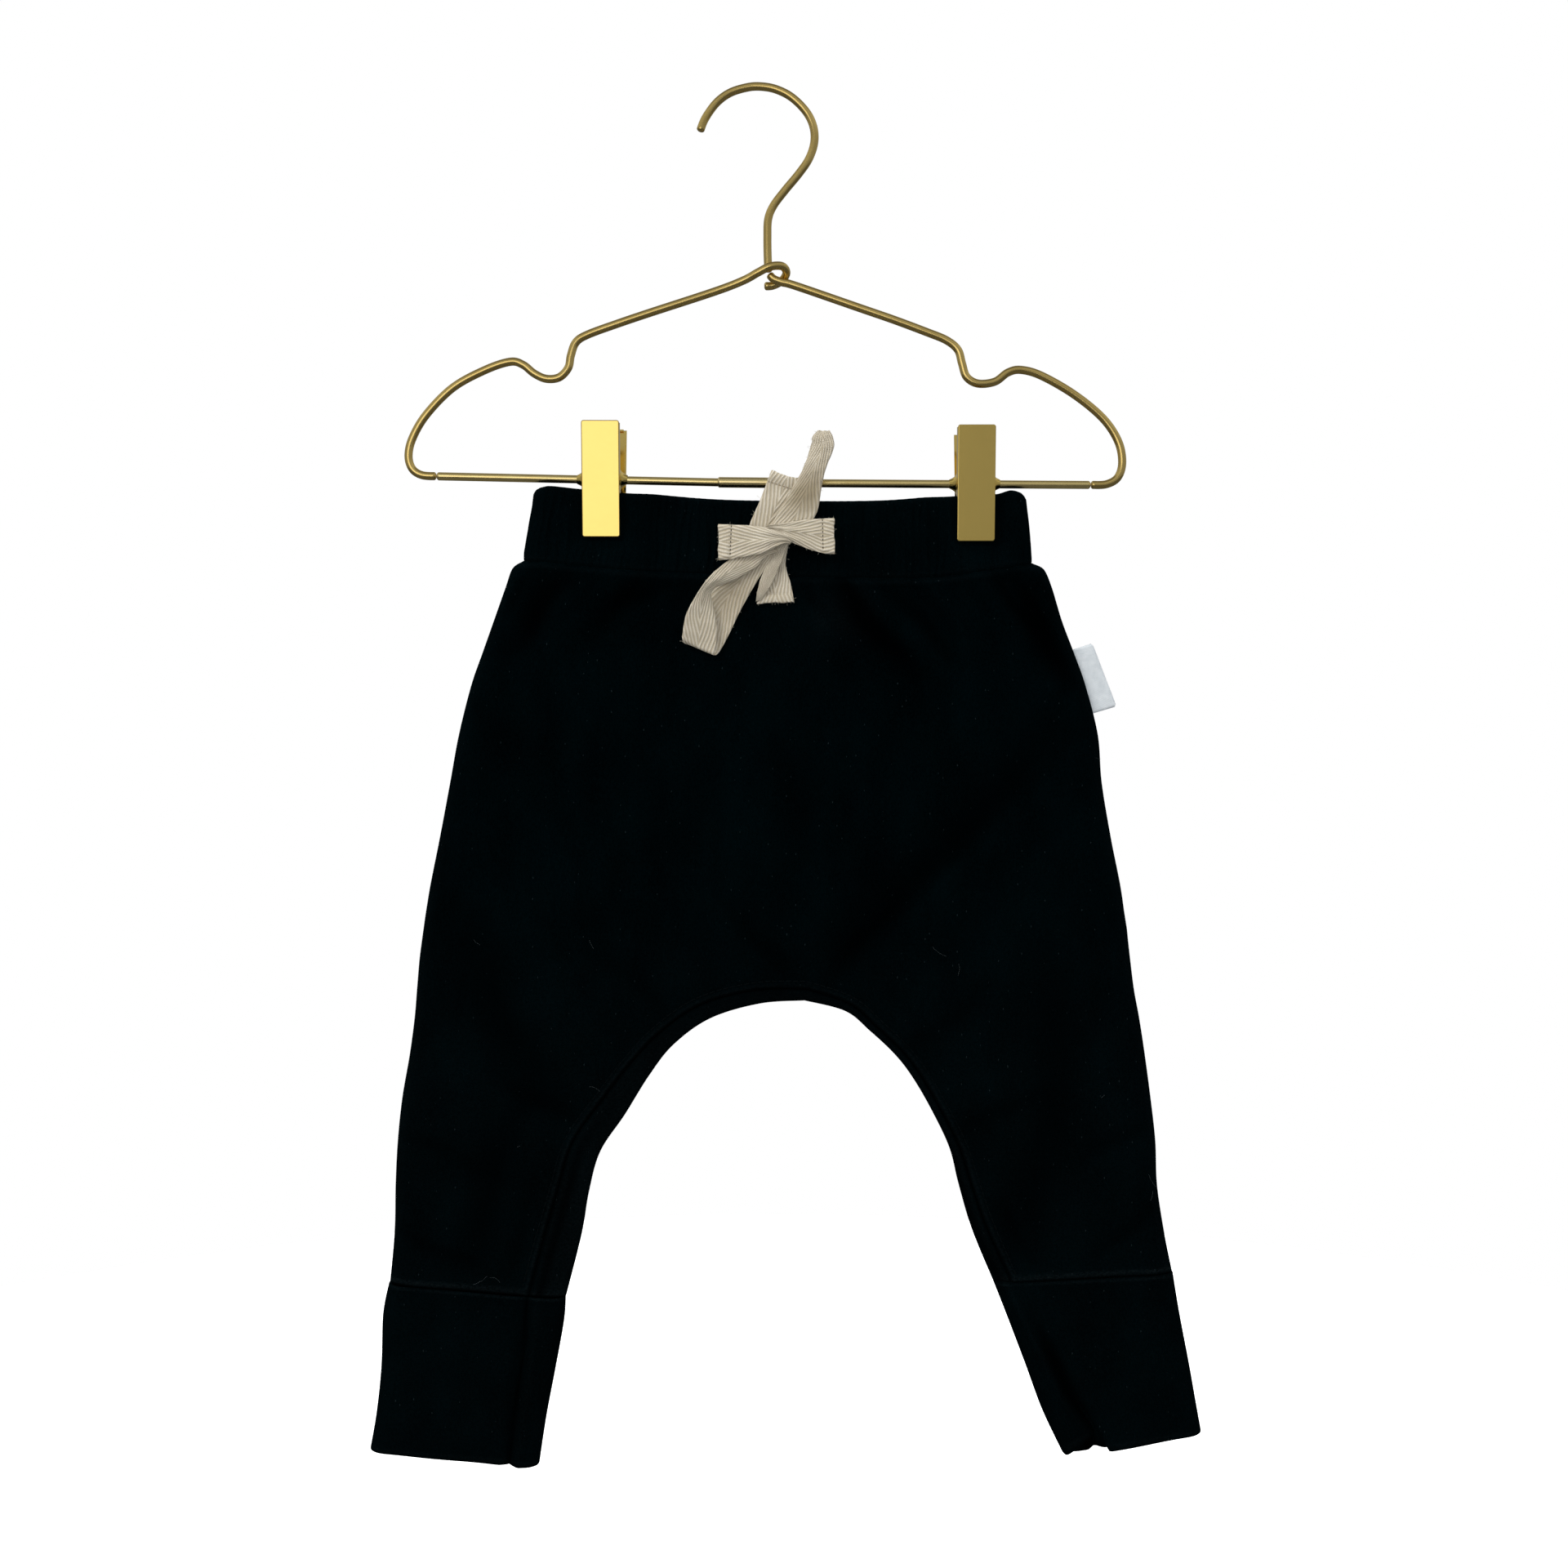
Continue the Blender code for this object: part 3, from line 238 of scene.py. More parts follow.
def joined(name: str, parts: Sequence[Part], crease: float = 40.0) -> Item:
    """Makes one object from several sets of points and faces."""
    points, faces, start = [], [], 0
    for some, theirs in parts:
        points.append(np.asarray(some, float).reshape(-1, 3))
        faces += [[start + i for i in face] for face in theirs]
        start += len(points[-1])
    return mesh_piece(name, np.vstack(points), faces, crease)


# ==== finishes
class Nodes:
    """A tree of shader nodes, with short ways to add and join them."""

    def __init__(self, tree: bpy.types.NodeTree) -> None:
        """Takes up a tree."""
        self.nodes, self.links = tree.nodes, tree.links

    def feed(self, socket: Socket, value: object) -> None:
        """Sets a socket's number, or joins another socket to it."""
        if isinstance(value, Socket):
            self.links.new(value, socket)
        else:
            socket.default_value = value

    def add(
        self, kind: str, inputs: dict[object, object] | None = None, **settings: object
    ) -> bpy.types.Node:
        """Adds a node.

        Args:
            kind: The node's type, without its ShaderNode prefix.
            inputs: A value or socket for each input, by name or number.
            settings: The node's own options.

        Returns:
            The node.
        """
        node = self.nodes.new("ShaderNode" + kind)
        for key, value in settings.items():
            setattr(node, key, value)
        for key, value in (inputs or {}).items():
            self.feed(node.inputs[key], value)
        return node


class Graph(Nodes):
    """A material's nodes, with ways to work out its weave, colours and relief."""

    def __init__(self, name: str) -> None:
        """Starts a material that holds one Principled shader."""
        self.material = bpy.data.materials.new(name)
        self.material.use_nodes = True
        super().__init__(self.material.node_tree)
        self.shader = self.nodes["Principled BSDF"]

    def maths(self, operation: str, *values: object) -> Socket:
        """The result of one sum."""
        node = self.add("Math", dict(enumerate(values)), operation=operation)
        return node.outputs[0]

    def waves(self, run: Socket, length: float) -> Socket:
        """A cosine with this wavelength along run."""
        return self.maths("COSINE", self.maths("MULTIPLY", run, 2 * math.pi / length))

    def noise(self, place: Socket, scale: float, detail: float = 3.0) -> Socket:
        """Soft noise with about this many lumps in a unit."""
        node = self.add("TexNoise", {"Vector": place, "Scale": scale, "Detail": detail})
        return node.outputs["Fac"]

    def spread(
        self, value: object, low: float, high: float, to_low: float = 0.0, to_high: float = 1.0
    ) -> Socket:
        """Moves a value from one range to another, and stops it at the ends."""
        inputs = {0: value, 1: low, 2: high, 3: to_low, 4: to_high}
        return self.add("MapRange", inputs).outputs[0]

    def marked(self, name: str) -> Socket:
        """The number that each point holds under this name."""
        return self.add("Attribute", attribute_name=name).outputs["Fac"]

    def colours(self, share: object, under: Socket | Place, over: Place) -> Socket:
        """A colour laid by a share over another, which is plain or comes from a socket."""
        below = (*under, 1.0) if isinstance(under, tuple) else under
        return self.add("Mix", {0: share, 6: below, 7: (*over, 1.0)}, data_type="RGBA").outputs[2]

    def place(self) -> Socket:
        """Each point's place in the part's own frame, in millimetres."""
        where = self.add("TexCoord").outputs["Object"]
        return self.add("VectorMath", {0: where, "Scale": 1 / MM}, operation="SCALE").outputs[0]

    def flat_place(self) -> Socket:
        """Each point's place on the flat cloth, in millimetres."""
        where = self.add("UVMap", uv_map="flat_cloth").outputs[0]
        return self.add("VectorMath", {0: where, "Scale": 1 / MM}, operation="SCALE").outputs[0]

    def parts(self, place: Socket) -> list[Socket]:
        """The three numbers of a place."""
        return list(self.add("SeparateXYZ", {0: place}).outputs)

    def stretched(self, place: Socket, scale: Place) -> Socket:
        """A place scaled by its own number on each axis."""
        return self.add("VectorMath", {0: place, 1: scale}, operation="MULTIPLY").outputs[0]

    def bump(self, height: Socket, depth: float, under: Socket | None = None) -> Socket:
        """Raises the surface by height times depth in millimetres, over any bump under it."""
        node = self.add("Bump", {"Height": height, "Strength": 1.0, "Distance": depth * MM})
        if under is not None:
            self.feed(node.inputs["Normal"], under)
        return node.outputs[0]

    def finish(self, **inputs: object) -> bpy.types.Material:
        """Sets the shader's sockets, named with _ for each space, and returns the material."""
        for name, value in inputs.items():
            if isinstance(value, tuple) and len(value) == 3:
                value = (*value, 1.0)
            self.feed(self.shader.inputs[name.replace("_", " ")], value)
        return self.material


@dataclass(frozen=True)
class Finish:
    """A finish that is made once and then shared by the pieces that wear it."""

    name: str = "finish"
    slot: str = ""

    def build(self) -> bpy.types.Material:
        """Makes the material."""
        raise NotImplementedError

    def dress(self, *items: Item) -> None:
        """Puts the material on the pieces."""
        material = bpy.data.materials.get(self.name) or self.build()
        for item in items:
            item.data.materials.clear()
            item.data.materials.append(material)


@dataclass(frozen=True)
class BlackKnit(Finish):
    """Cotton jersey: fine columns of stitches under a short nap, frosted with lint where it is rubbed, and
    painted with near-black shade in fold troughs, seam ditches and cuff valleys.
    """

    name: str = "black_jersey"
    slot: str = "black_knit"
    wale: float = 0.95
    course: float = 0.72
    stitch_lean: float = 1.1
    stitch_depth: float = 0.035
    nap_lumps: float = 2.6
    nap_depth: float = 0.22
    patch_lumps: float = 0.055
    speckle_lumps: float = 1.5
    frost_lumps: float = 1.1
    speck_cell: float = 1.9
    speck_cover: float = 0.75
    # How far the painted shade darkens the cloth at full strength.
    painted_shade_cover: float = 0.92
    shine: float = 0.003
    deep: Place = (0.00003, 0.00055, 0.0008)
    worn: Place = (0.0004, 0.0029, 0.0037)
    lint: Place = (0.013, 0.019, 0.021)
    # Near black, painted into fold troughs, seam ditches and cuff valleys as shade.
    unlit: Place = (0.0, 0.0001, 0.0002)

    def build(self) -> bpy.types.Material:
        """Makes the material."""
        g = Graph(self.name)
        place = g.place()
        tall = g.stretched(place, (1.0, 1.0, 0.45))
        x, _, z = g.parts(place)
        column = g.maths("FRACT", g.maths("DIVIDE", x, self.wale))
        column = g.maths("ABSOLUTE", g.maths("SUBTRACT", column, 0.5))
        leg = g.maths("SUBTRACT", z, g.maths("MULTIPLY", column, self.stitch_lean * self.course))
        stitches = g.maths("MULTIPLY_ADD", g.waves(leg, self.course), 0.5, g.waves(x, self.wale))
        cloth = g.bump(stitches, self.stitch_depth)
        cloth = g.bump(g.noise(tall, self.nap_lumps, 5.0), self.nap_depth, cloth)
        patches = g.noise(g.stretched(place, (1.0, 1.0, 0.5)), self.patch_lumps, 4.0)
        patches = g.spread(patches, 0.3, 0.75, 0.0, 0.6)
        speckle = g.spread(g.noise(g.stretched(place, (1.0, 1.0, 0.6)), self.speckle_lumps), 0.35, 0.75)
        colour = g.colours(g.maths("MULTIPLY_ADD", speckle, 0.55, patches), self.deep, self.worn)
        broken = g.noise(g.stretched(place, (0.8, 0.8, 1.4)), self.frost_lumps, 4.0)
        broken = g.spread(broken, 0.32, 0.7, 0.15)
        colour = g.colours(g.maths("MULTIPLY", g.marked("frost"), broken), colour, self.lint)
        cells = g.add("TexVoronoi", {"Vector": tall, "Scale": 1 / self.speck_cell})
        size = g.spread(g.parts(cells.outputs["Color"])[0], 0.35, 1.0, 0.0, 0.32)
        speck = g.maths("LESS_THAN", cells.outputs["Distance"], g.maths("MULTIPLY", size, 0.35))
        colour = g.colours(g.maths("MULTIPLY", speck, self.speck_cover), colour, self.lint)
        # Painted shade: the marked fold troughs, seam ditches and cuff valleys are mixed towards near black.
        colour = g.colours(g.maths("MULTIPLY", g.marked("painted_fold_shade"), self.painted_shade_cover), colour, self.unlit)
        return g.finish(
            Base_Color=colour,
            Roughness=0.95,
            Specular_IOR_Level=self.shine,
            Sheen_Weight=self.shine,
            Sheen_Roughness=0.5,
            Sheen_Tint=(0.45, 0.85, 1.0),
            Normal=cloth,
        )


@dataclass(frozen=True)
class HerringboneTape(Finish):
    """Undyed twill tape: ridges that slant in to a centre line, over finer cross threads, with light painted
    on the ridge tops, shade in the valleys between them, and painted shade on marked parts of the loops and
    tails.
    """

    name: str = "herringbone_tape"
    slot: str = "cream_tape"
    width: float = 15.0
    ridge: float = 1.5
    slant: float = 17.0
    thread: float = 0.62
    thread_share: float = 0.17
    fluff_lumps: float = 3.2
    fluff_share: float = 1.6
    stain_lumps: float = 0.12
    wander: float = 0.6
    relief: float = 0.13
    # Painted light and shade: the first colour is the lit ridge tops, the second the shaded valleys between
    # them, the third the dark brown of the painted shade on the loops and tails.
    lit_crest: Place = (0.85, 0.795, 0.675)
    valley: Place = (0.44, 0.37, 0.25)
    dust_and_shade: Place = (0.33, 0.27, 0.17)

    def build(self) -> bpy.types.Material:
        """Makes the material."""
        g = Graph(self.name)
        flat, place = g.flat_place(), g.place()
        across, along, _ = g.parts(flat)
        wander = g.maths("MULTIPLY_ADD", g.noise(flat, 0.32, 2.0), self.wander, -self.wander / 2)
        from_centre = g.maths("ABSOLUTE", g.maths("SUBTRACT", across, self.width / 2))
        turn = math.radians(self.slant)
        run = g.maths("MULTIPLY", from_centre, math.cos(turn))
        run = g.maths("MULTIPLY_ADD", along, math.sin(turn), run)
        ridges = g.waves(g.maths("ADD", run, wander), self.ridge)
        threads = g.waves(g.maths("MULTIPLY_ADD", wander, 0.5, along), self.thread)
        woven = g.maths("MULTIPLY_ADD", threads, self.thread_share, ridges)
        height = g.maths("MULTIPLY_ADD", g.noise(place, self.fluff_lumps, 5.0), self.fluff_share, woven)
        stain = g.spread(g.noise(place, self.stain_lumps), 0.35, 0.7, 0.72)
        # Painted light and shade on the weave: the higher a point of the ridges, the nearer it comes to the
        # lit colour.
        ridge_light_share = g.maths("MULTIPLY", g.spread(height, -0.7, 2.2), stain)
        # Painted shade: the marked parts of the loops and tails are mixed towards a dark brown.
        colour = g.colours(g.marked("soiled"), g.colours(ridge_light_share, self.valley, self.lit_crest), self.dust_and_shade)
        return g.finish(
            Base_Color=colour,
            Roughness=0.9,
            Specular_IOR_Level=0.2,
            Sheen_Weight=0.12,
            Sheen_Roughness=0.45,
            Sheen_Tint=(1.0, 0.93, 0.80),
            Normal=g.bump(height, self.relief),
        )


@dataclass(frozen=True)
class WhiteSatin(Finish):
    """A woven satin label, blank, with its fine cross ribs."""

    name: str = "white_satin_weave"
    slot: str = "white_satin"
    lean: float = 0.34
    rib: float = 0.55
    warp: float = 0.4
    relief: float = 0.02
    shade: Place = (0.66, 0.715, 0.75)
    light: Place = (0.78, 0.83, 0.86)

    def build(self) -> bpy.types.Material:
        """Makes the material."""
        g = Graph(self.name)
        place = g.place()
        x, _, z = g.parts(place)
        ribs = g.waves(g.maths("MULTIPLY_ADD", x, self.lean, z), self.rib)
        warp = g.waves(g.maths("MULTIPLY_ADD", z, -self.lean, x), self.warp)
        height = g.maths("MULTIPLY_ADD", warp, 0.3, ribs)
        soft = g.spread(g.noise(place, 0.35), 0.3, 0.7)
        return g.finish(
            Base_Color=g.colours(soft, self.shade, self.light),
            Roughness=0.42,
            Specular_IOR_Level=0.35,
            Sheen_Weight=0.1,
            Normal=g.bump(height, self.relief),
        )


@dataclass(frozen=True)
class SatinGold(Finish):
    """Gold plate over steel, softly brushed along the metal, with darker patches from handling."""

    name: str = "satin_gold_wire"
    slot: str = "satin_gold"
    tint: Place = (0.76, 0.57, 0.20)
    handled: Place = (0.62, 0.44, 0.135)
    roughness: float = 0.24
    grain: Place = (6.0, 6.0, 6.0)
    relief: float = 0.02

    def build(self) -> bpy.types.Material:
        """Makes the material."""
        g = Graph(self.name)
        place = g.place()
        patches = g.spread(g.noise(place, 0.09, 4.0), 0.42, 0.72, 0.0, 0.5)
        grain = g.noise(g.stretched(place, self.grain), 1.0)
        swells = g.noise(place, 0.25, 2.0)
        return g.finish(
            Base_Color=g.colours(patches, self.tint, self.handled),
            Metallic=1.0,
            Roughness=g.spread(grain, 0.3, 0.7, self.roughness - 0.03, self.roughness + 0.04),
            Normal=g.bump(g.maths("MULTIPLY_ADD", grain, 0.02, swells), self.relief),
        )


@dataclass(frozen=True)
class BlackRubber(Finish):
    """The clips' soft grip pads."""

    name: str = "black_rubber_pad"
    slot: str = "black_rubber"
    rib: float = 1.2
    rib_depth: float = 0.1
    clean: Place = (0.010, 0.010, 0.011)
    dust_and_shade: Place = (0.035, 0.034, 0.033)

    def build(self) -> bpy.types.Material:
        """Makes the material."""
        g = Graph(self.name)
        place = g.place()
        dust = g.spread(g.noise(place, 0.8, 4.0), 0.45, 0.75)
        ribs = g.waves(g.parts(place)[2], self.rib)
        colour = g.colours(dust, self.clean, self.dust_and_shade)
        return g.finish(Base_Color=colour, Roughness=0.7, Normal=g.bump(ribs, self.rib_depth))


@dataclass(frozen=True)
class SewingThread(Finish):
    """Spun thread with its twist."""

    name: str = "sewing_thread"
    slot: str = "black_knit"
    light: Place = (0.002, 0.0045, 0.0053)
    dark: Place = (0.0005, 0.0012, 0.0016)
    twist: float = 0.45
    twist_depth: float = 0.04

    def build(self) -> bpy.types.Material:
        """Makes the material."""
        g = Graph(self.name)
        x, y, z = g.parts(g.place())
        twist = g.waves(g.maths("ADD", g.maths("ADD", x, y), z), self.twist)
        return g.finish(
            Base_Color=g.colours(g.spread(twist, -1.0, 1.0), self.dark, self.light),
            Roughness=0.8,
            Specular_IOR_Level=0.1,
            Normal=g.bump(twist, self.twist_depth),
        )


@dataclass(frozen=True)
class PaleFloor(Finish):
    """The plain pale floor below the hanging part."""

    name: str = "pale_floor"
    shade: Place = (0.93, 0.93, 0.93)
    light: Place = (0.97, 0.97, 0.97)

    def build(self) -> bpy.types.Material:
        """Makes the material."""
        g = Graph(self.name)
        grain = g.noise(g.place(), 0.01, 2.0)
        return g.finish(
            Base_Color=g.colours(grain, self.shade, self.light),
            Roughness=0.9,
            Emission_Color=(1.0, 1.0, 1.0),
            Emission_Strength=1.0,
        )

    def dress(self, *items: Item) -> None:
        """Puts the material on the floor, which has no slot of the part."""
        material = self.build()
        for item in items:
            item.data.materials.append(material)


KNIT = BlackKnit()
TAPE = HerringboneTape()
SATIN = WhiteSatin()
WIRE_GOLD = SatinGold()
PLATE_GOLD = SatinGold("satin_gold_plate", tint=(0.86, 0.64, 0.185), handled=(0.84, 0.62, 0.175),
                       roughness=0.15, grain=(0.6, 0.6, 9.0))
# Painted light: the bar's gold is a brighter copy of the wire's gold, raised to stand in for the bright
# reflections along it. The sleeve's paler tint is its own, and its raised brightness is painted light as
# well.
BAR_GOLD_PAINTED_BRIGHT = SatinGold("satin_gold_bar_painted_bright", tint=(0.98, 0.79, 0.34), handled=(0.86, 0.66, 0.25))
SLEEVE_GOLD_PAINTED_BRIGHT = SatinGold("satin_gold_sleeve_painted_bright", tint=(1.0, 0.83, 0.42), handled=(0.90, 0.71, 0.31),
                        roughness=0.25)
RUBBER = BlackRubber()
BLACK_THREAD = SewingThread()
CREAM_THREAD = SewingThread("cream_hem_thread", "cream_tape", (0.46, 0.38, 0.26), (0.24, 0.19, 0.12))
TAPE_THREAD = SewingThread("hem_thread", "cream_tape", (0.10, 0.08, 0.055), (0.03, 0.024, 0.018))
FLUFF = SewingThread("tape_fluff", "cream_tape", (0.72, 0.67, 0.55), (0.46, 0.41, 0.32))
LINT = SewingThread("lint_fibre", "black_knit", (0.085, 0.10, 0.105), (0.035, 0.042, 0.045))


# ==== the cut of the garment
class Section(NamedTuple):
    """One section across a half: side seam to centre line or, lower down, to the edge of the crotch arch."""

    side_x: float
    side_z: float
    inner_x: float
    inner_z: float
    depth: float
    roll: float


class EdgePoint(NamedTuple):
    """A point of an edge that runs across the front."""

    x: float
    z: float


class Fold(NamedTuple):
    """A fold from one place to another. A negative depth is a ridge."""

    x1: float
    z1: float
    x2: float
    z2: float
    width: float
    depth: float


class Side(Enum):
    """Which wall of the garment a piece is."""

    FRONT = -1
    BACK = 1


CROTCH_ROW = 12
LEFT_SECTIONS = table(
    Section,
    (-98.3, -195.9, 9, -202.8, 7.2, 0), (-102.8, -199.2, 9.2, -206, 7.9, 0),
    (-105.7, -207.1, 9.8, -214, 7.7, 0), (-110.5, -220.7, 10.8, -228, 7.6, 0),
    (-115.3, -234.3, 11.8, -243, 7.6, 0), (-120, -247.9, 12.8, -259, 7.6, 0),
    (-125.1, -268.3, 14, -281, 7.6, 0), (-128.7, -288, 15.2, -305, 7.6, 0), (-133, -311, 16.4, -331, 7.6, 0),
    (-136.8, -330, 17.6, -354, 7.5, 0), (-138.8, -342, 18.2, -364, 7.4, 0),
    (-139.8, -349, 18.5, -371.5, 7.4, 0), (-140.5, -354, 18.7, -378.8, 7.3, 5.5),
    (-141.5, -362, 0, -380.1, 7.3, 6.5), (-142.5, -374, -20.4, -386.2, 7.2, 7.5),
    (-143.5, -386, -35.7, -397.1, 7.2, 8), (-145.5, -401, -45.9, -410, 7.1, 9.5),
    (-148.6, -419, -56.1, -426.4, 6.9, 11.5), (-150.5, -437, -66.3, -441.7, 6.7, 12),
    (-151.4, -455, -71, -458.5, 6.4, 12.5), (-151.8, -474, -74, -476, 6.1, 14.5),
    (-153.7, -495.4, -80.4, -501.3, 5.8, 15),
)
RIGHT_SECTIONS = table(
    Section,
    (113.6, -196.9, 9, -202.8, 7.2, 0), (118.4, -199.6, 9.2, -206, 7.9, 0),
    (121.7, -207.1, 9.8, -214, 7.7, 0), (125.8, -220.7, 10.8, -228, 7.6, 0),
    (130.9, -234.3, 11.8, -243, 7.6, 0), (135.7, -247.9, 12.8, -259, 7.6, 0),
    (140.8, -268.3, 14, -281, 7.6, 0), (142.4, -288, 15.2, -305, 7.6, 0), (146.2, -311, 16.4, -331, 7.6, 0),
    (150, -330, 17.6, -354, 7.5, 0), (151.8, -342, 18.2, -364, 7.4, 0), (152.9, -349, 18.5, -371.5, 7.4, 0),
    (153.4, -354, 18.7, -378.8, 7.3, 5.5), (154.3, -362, 35.7, -383.2, 7.3, 4),
    (155.8, -374, 46, -391.5, 7.2, 3.5), (158, -386, 56.1, -401, 7.2, 3.5),
    (160.3, -401, 63.5, -410.5, 7.1, 3.5), (162.7, -419, 71.4, -424, 6.9, 3.5),
    (164.7, -437, 79, -440, 6.7, 4), (165.4, -455, 82.8, -455, 6.4, 5), (168.2, -474, 88.4, -474, 6.1, 6),
    (171.6, -491, 97, -494.8, 5.8, 7),
)
WAIST_SEAM = table(
    EdgePoint,
    (-104, -195.6), (-70.7, -198.6), (-44.5, -200.9), (9, -202.8), (51, -203.6), (75, -202.8), (119, -196.4),
)
BAND_TOP = table(
    EdgePoint,
    (-96, -166.6), (-85, -165.6), (-56.8, -167.8), (-21.1, -171), (8, -171.8), (51, -171.6), (80.9, -169.2),
    (98.5, -168.3), (104.4, -167), (112, -168.8),
)
FRONT_FOLDS = table(
    Fold,
    (34, -206, 64, -243, 5.5, 2), (44, -205, 76, -247, 5, -0.8), (56, -211, 79, -235, 4.5, 1.3),
    (103, -204, 131, -244, 5.5, 2), (-41, -206, -71, -225, 6, 1.6), (-78, -204, -102, -232, 6, 1.6),
    (-55, -204, -88, -236, 6, -0.7), (120, -267, 41, -355, 9, 1.3), (132, -280, 70, -352, 9, -0.7),
    (-120, -345, -88, -420, 10, 1), (-98, -425, -122, -486, 7, 1), (128, -372, 112, -470, 10, 1),
)
BACK_FOLDS = table(
    Fold,
    (30, -207, 52, -240, 6, 1.6), (78, -205, 110, -236, 6, 1.6), (-34, -206, -58, -238, 6, 1.6),
    (-80, -203, -104, -230, 6, 1.4), (-6, -262, 4, -345, 12, 1), (108, -290, 52, -362, 9, 1.2),
    (-104, -300, -30, -365, 9, 1.2), (-118, -392, -104, -470, 9, 1), (124, -392, 128, -470, 9, 1),
)
# Finer creases than the solids hold.
FRONT_CREASES = table(
    Fold,
    (-92, -200.5, -106, -219, 2.6, 0.8), (-64, -201, -81, -222, 2.4, 0.7), (-49, -203, -60, -214, 2.2, 0.6),
    (-27, -204, -37, -221, 2.4, 0.5), (-8, -205, -14, -219, 2.6, 0.5), (19, -206, 31, -224, 2.6, 0.6),
    (37, -206, 49, -222, 2, 0.9), (63, -206, 83, -228, 2.6, 0.8), (84, -203, 96, -219, 2.4, 0.6),
    (96, -202, 113, -225, 2.4, 0.9), (111, -200, 124, -216, 2.2, 0.7), (14, -371, -14, -338, 4, 0.7),
    (27, -371, 58, -336, 4.5, 0.7), (-31, -388, -66, -361, 4.5, 0.6), (61, -399, 96, -371, 4, 0.6),
    (-72, -432, -110, -409, 4, 0.6), (-149, -432, -116, -447, 3.6, 0.6), (80, -434, 116, -415, 4, 0.6),
    (163, -428, 131, -446, 3.6, 0.6), (-151, -472, -118, -488, 3.2, 0.7), (-92, -455, -104, -490, 3.4, 0.7),
    (166, -462, 140, -483, 3.2, 0.7), (97, -462, 113, -486, 3.4, 0.7), (-126, -252, -92, -276, 6, 0.5),
    (139, -262, 112, -290, 5, 0.5), (-60, -262, -38, -318, 8, 0.45), (8, -268, 22, -318, 7, 0.45),
)
BACK_CREASES = table(
    Fold,
    (-90, -201, -103, -219, 2.6, 0.8), (-58, -202, -70, -221, 2.4, 0.8), (-22, -205, -31, -223, 2.6, 0.6),
    (2, -206, 7, -226, 2.6, 0.6), (18, -206, 28, -222, 2.4, 0.7), (56, -206, 72, -229, 2.6, 0.8),
    (92, -203, 104, -220, 2.4, 0.8), (108, -201, 120, -219, 2.2, 0.7), (9, -372, -20, -340, 4.5, 0.8),
    (26, -372, 60, -343, 4.5, 0.8), (-46, -402, -84, -372, 4.5, 0.7), (66, -405, 104, -378, 4, 0.7),
    (-148, -428, -112, -445, 3.6, 0.7), (162, -424, 128, -444, 3.6, 0.7), (-150, -470, -120, -487, 3.2, 0.7),
    (165, -463, 138, -482, 3.2, 0.7), (-84, -258, -58, -300, 8, 0.5), (92, -256, 70, -300, 8, 0.5),
)


@dataclass(frozen=True)
class AcrossEdge:
    """An edge across the front, on a smooth curve through its points."""

    points: tuple[EdgePoint, ...]

    def at(self, x: Array) -> Array:
        """The edge's height at each x."""
        px, pz = np.array(self.points).T
        last = len(px) - 1
        k = np.clip(np.searchsorted(px, x, side="left") - 1, 0, last - 1)
        before, after = np.maximum(k - 1, 0), np.minimum(k + 2, last)
        span = px[k + 1] - px[k]
        t = np.clip((x - px[k]) / span, 0.0, 1.0)
        start = (pz[k + 1] - pz[before]) / (px[k + 1] - px[before]) * span
        end = (pz[after] - pz[k]) / (px[after] - px[k]) * span
        level = (2 * t**3 - 3 * t**2 + 1) * pz[k] + (3 * t**2 - 2 * t**3) * pz[k + 1]
        return level + (t**3 - 2 * t**2 + t) * start + (t**3 - t**2) * end


SEAM = AcrossEdge(WAIST_SEAM)
TOP = AcrossEdge(BAND_TOP)


@dataclass(frozen=True)
class Pinch:
    """How far the clips close the band."""

    at_x: tuple[float, ...] = (-65.4, 89.5)
    half: float = 9.0
    fade: float = 15.0

    def at(self, x: Array) -> Array:
        """From 0, open, to 1, closed, at each x."""
        return np.max([smooth(1.0 - (np.abs(x - c) - self.half) / self.fade) for c in self.at_x], axis=0)


PINCH = Pinch()


@dataclass
class HalfCut:
    """One half of the body's cut as smooth rows from the waist down to the leg's end."""

    sections: tuple[Section, ...]
    row_step: float = 1.7
    rows: Array = field(init=False)
    numbers: Array = field(init=False)

    def __post_init__(self) -> None:
        """Sets rows between the sections. The inner edge turns a corner at the crotch, so it is cut there."""
        cut = np.array(self.sections)
        lengths = np.hypot(*(cut[1:, :2] - cut[:-1, :2]).T)
        inner = np.hypot(*(cut[1:, 2:4] - cut[:-1, 2:4]).T)
        steps = [max(2, round(max(a, b) / self.row_step)) for a, b in zip(lengths, inner)]
        steps[0] = max(steps[0], 5)
        self.rows = curve_through(cut, steps)
        above = curve_through(cut[: CROTCH_ROW + 1, 2:4], steps[:CROTCH_ROW])
        below = curve_through(cut[CROTCH_ROW:, 2:4], steps[CROTCH_ROW:])
        self.rows[:, 2:4] = np.vstack([above[:-1], below])
        rolls = curve_through(cut[CROTCH_ROW:, 5:], steps[CROTCH_ROW:])
        self.rows[:, 5] = np.concatenate([np.zeros(len(above) - 1), rolls[:, 0]])
        numbers = curve_through(np.arange(len(cut), dtype=float)[:, None], steps)
        self.numbers = numbers[:, 0]

    @property
    def crotch(self) -> int:
        """The number of the row that reaches the crotch."""
        return int(np.argmin(np.abs(self.numbers - CROTCH_ROW)))


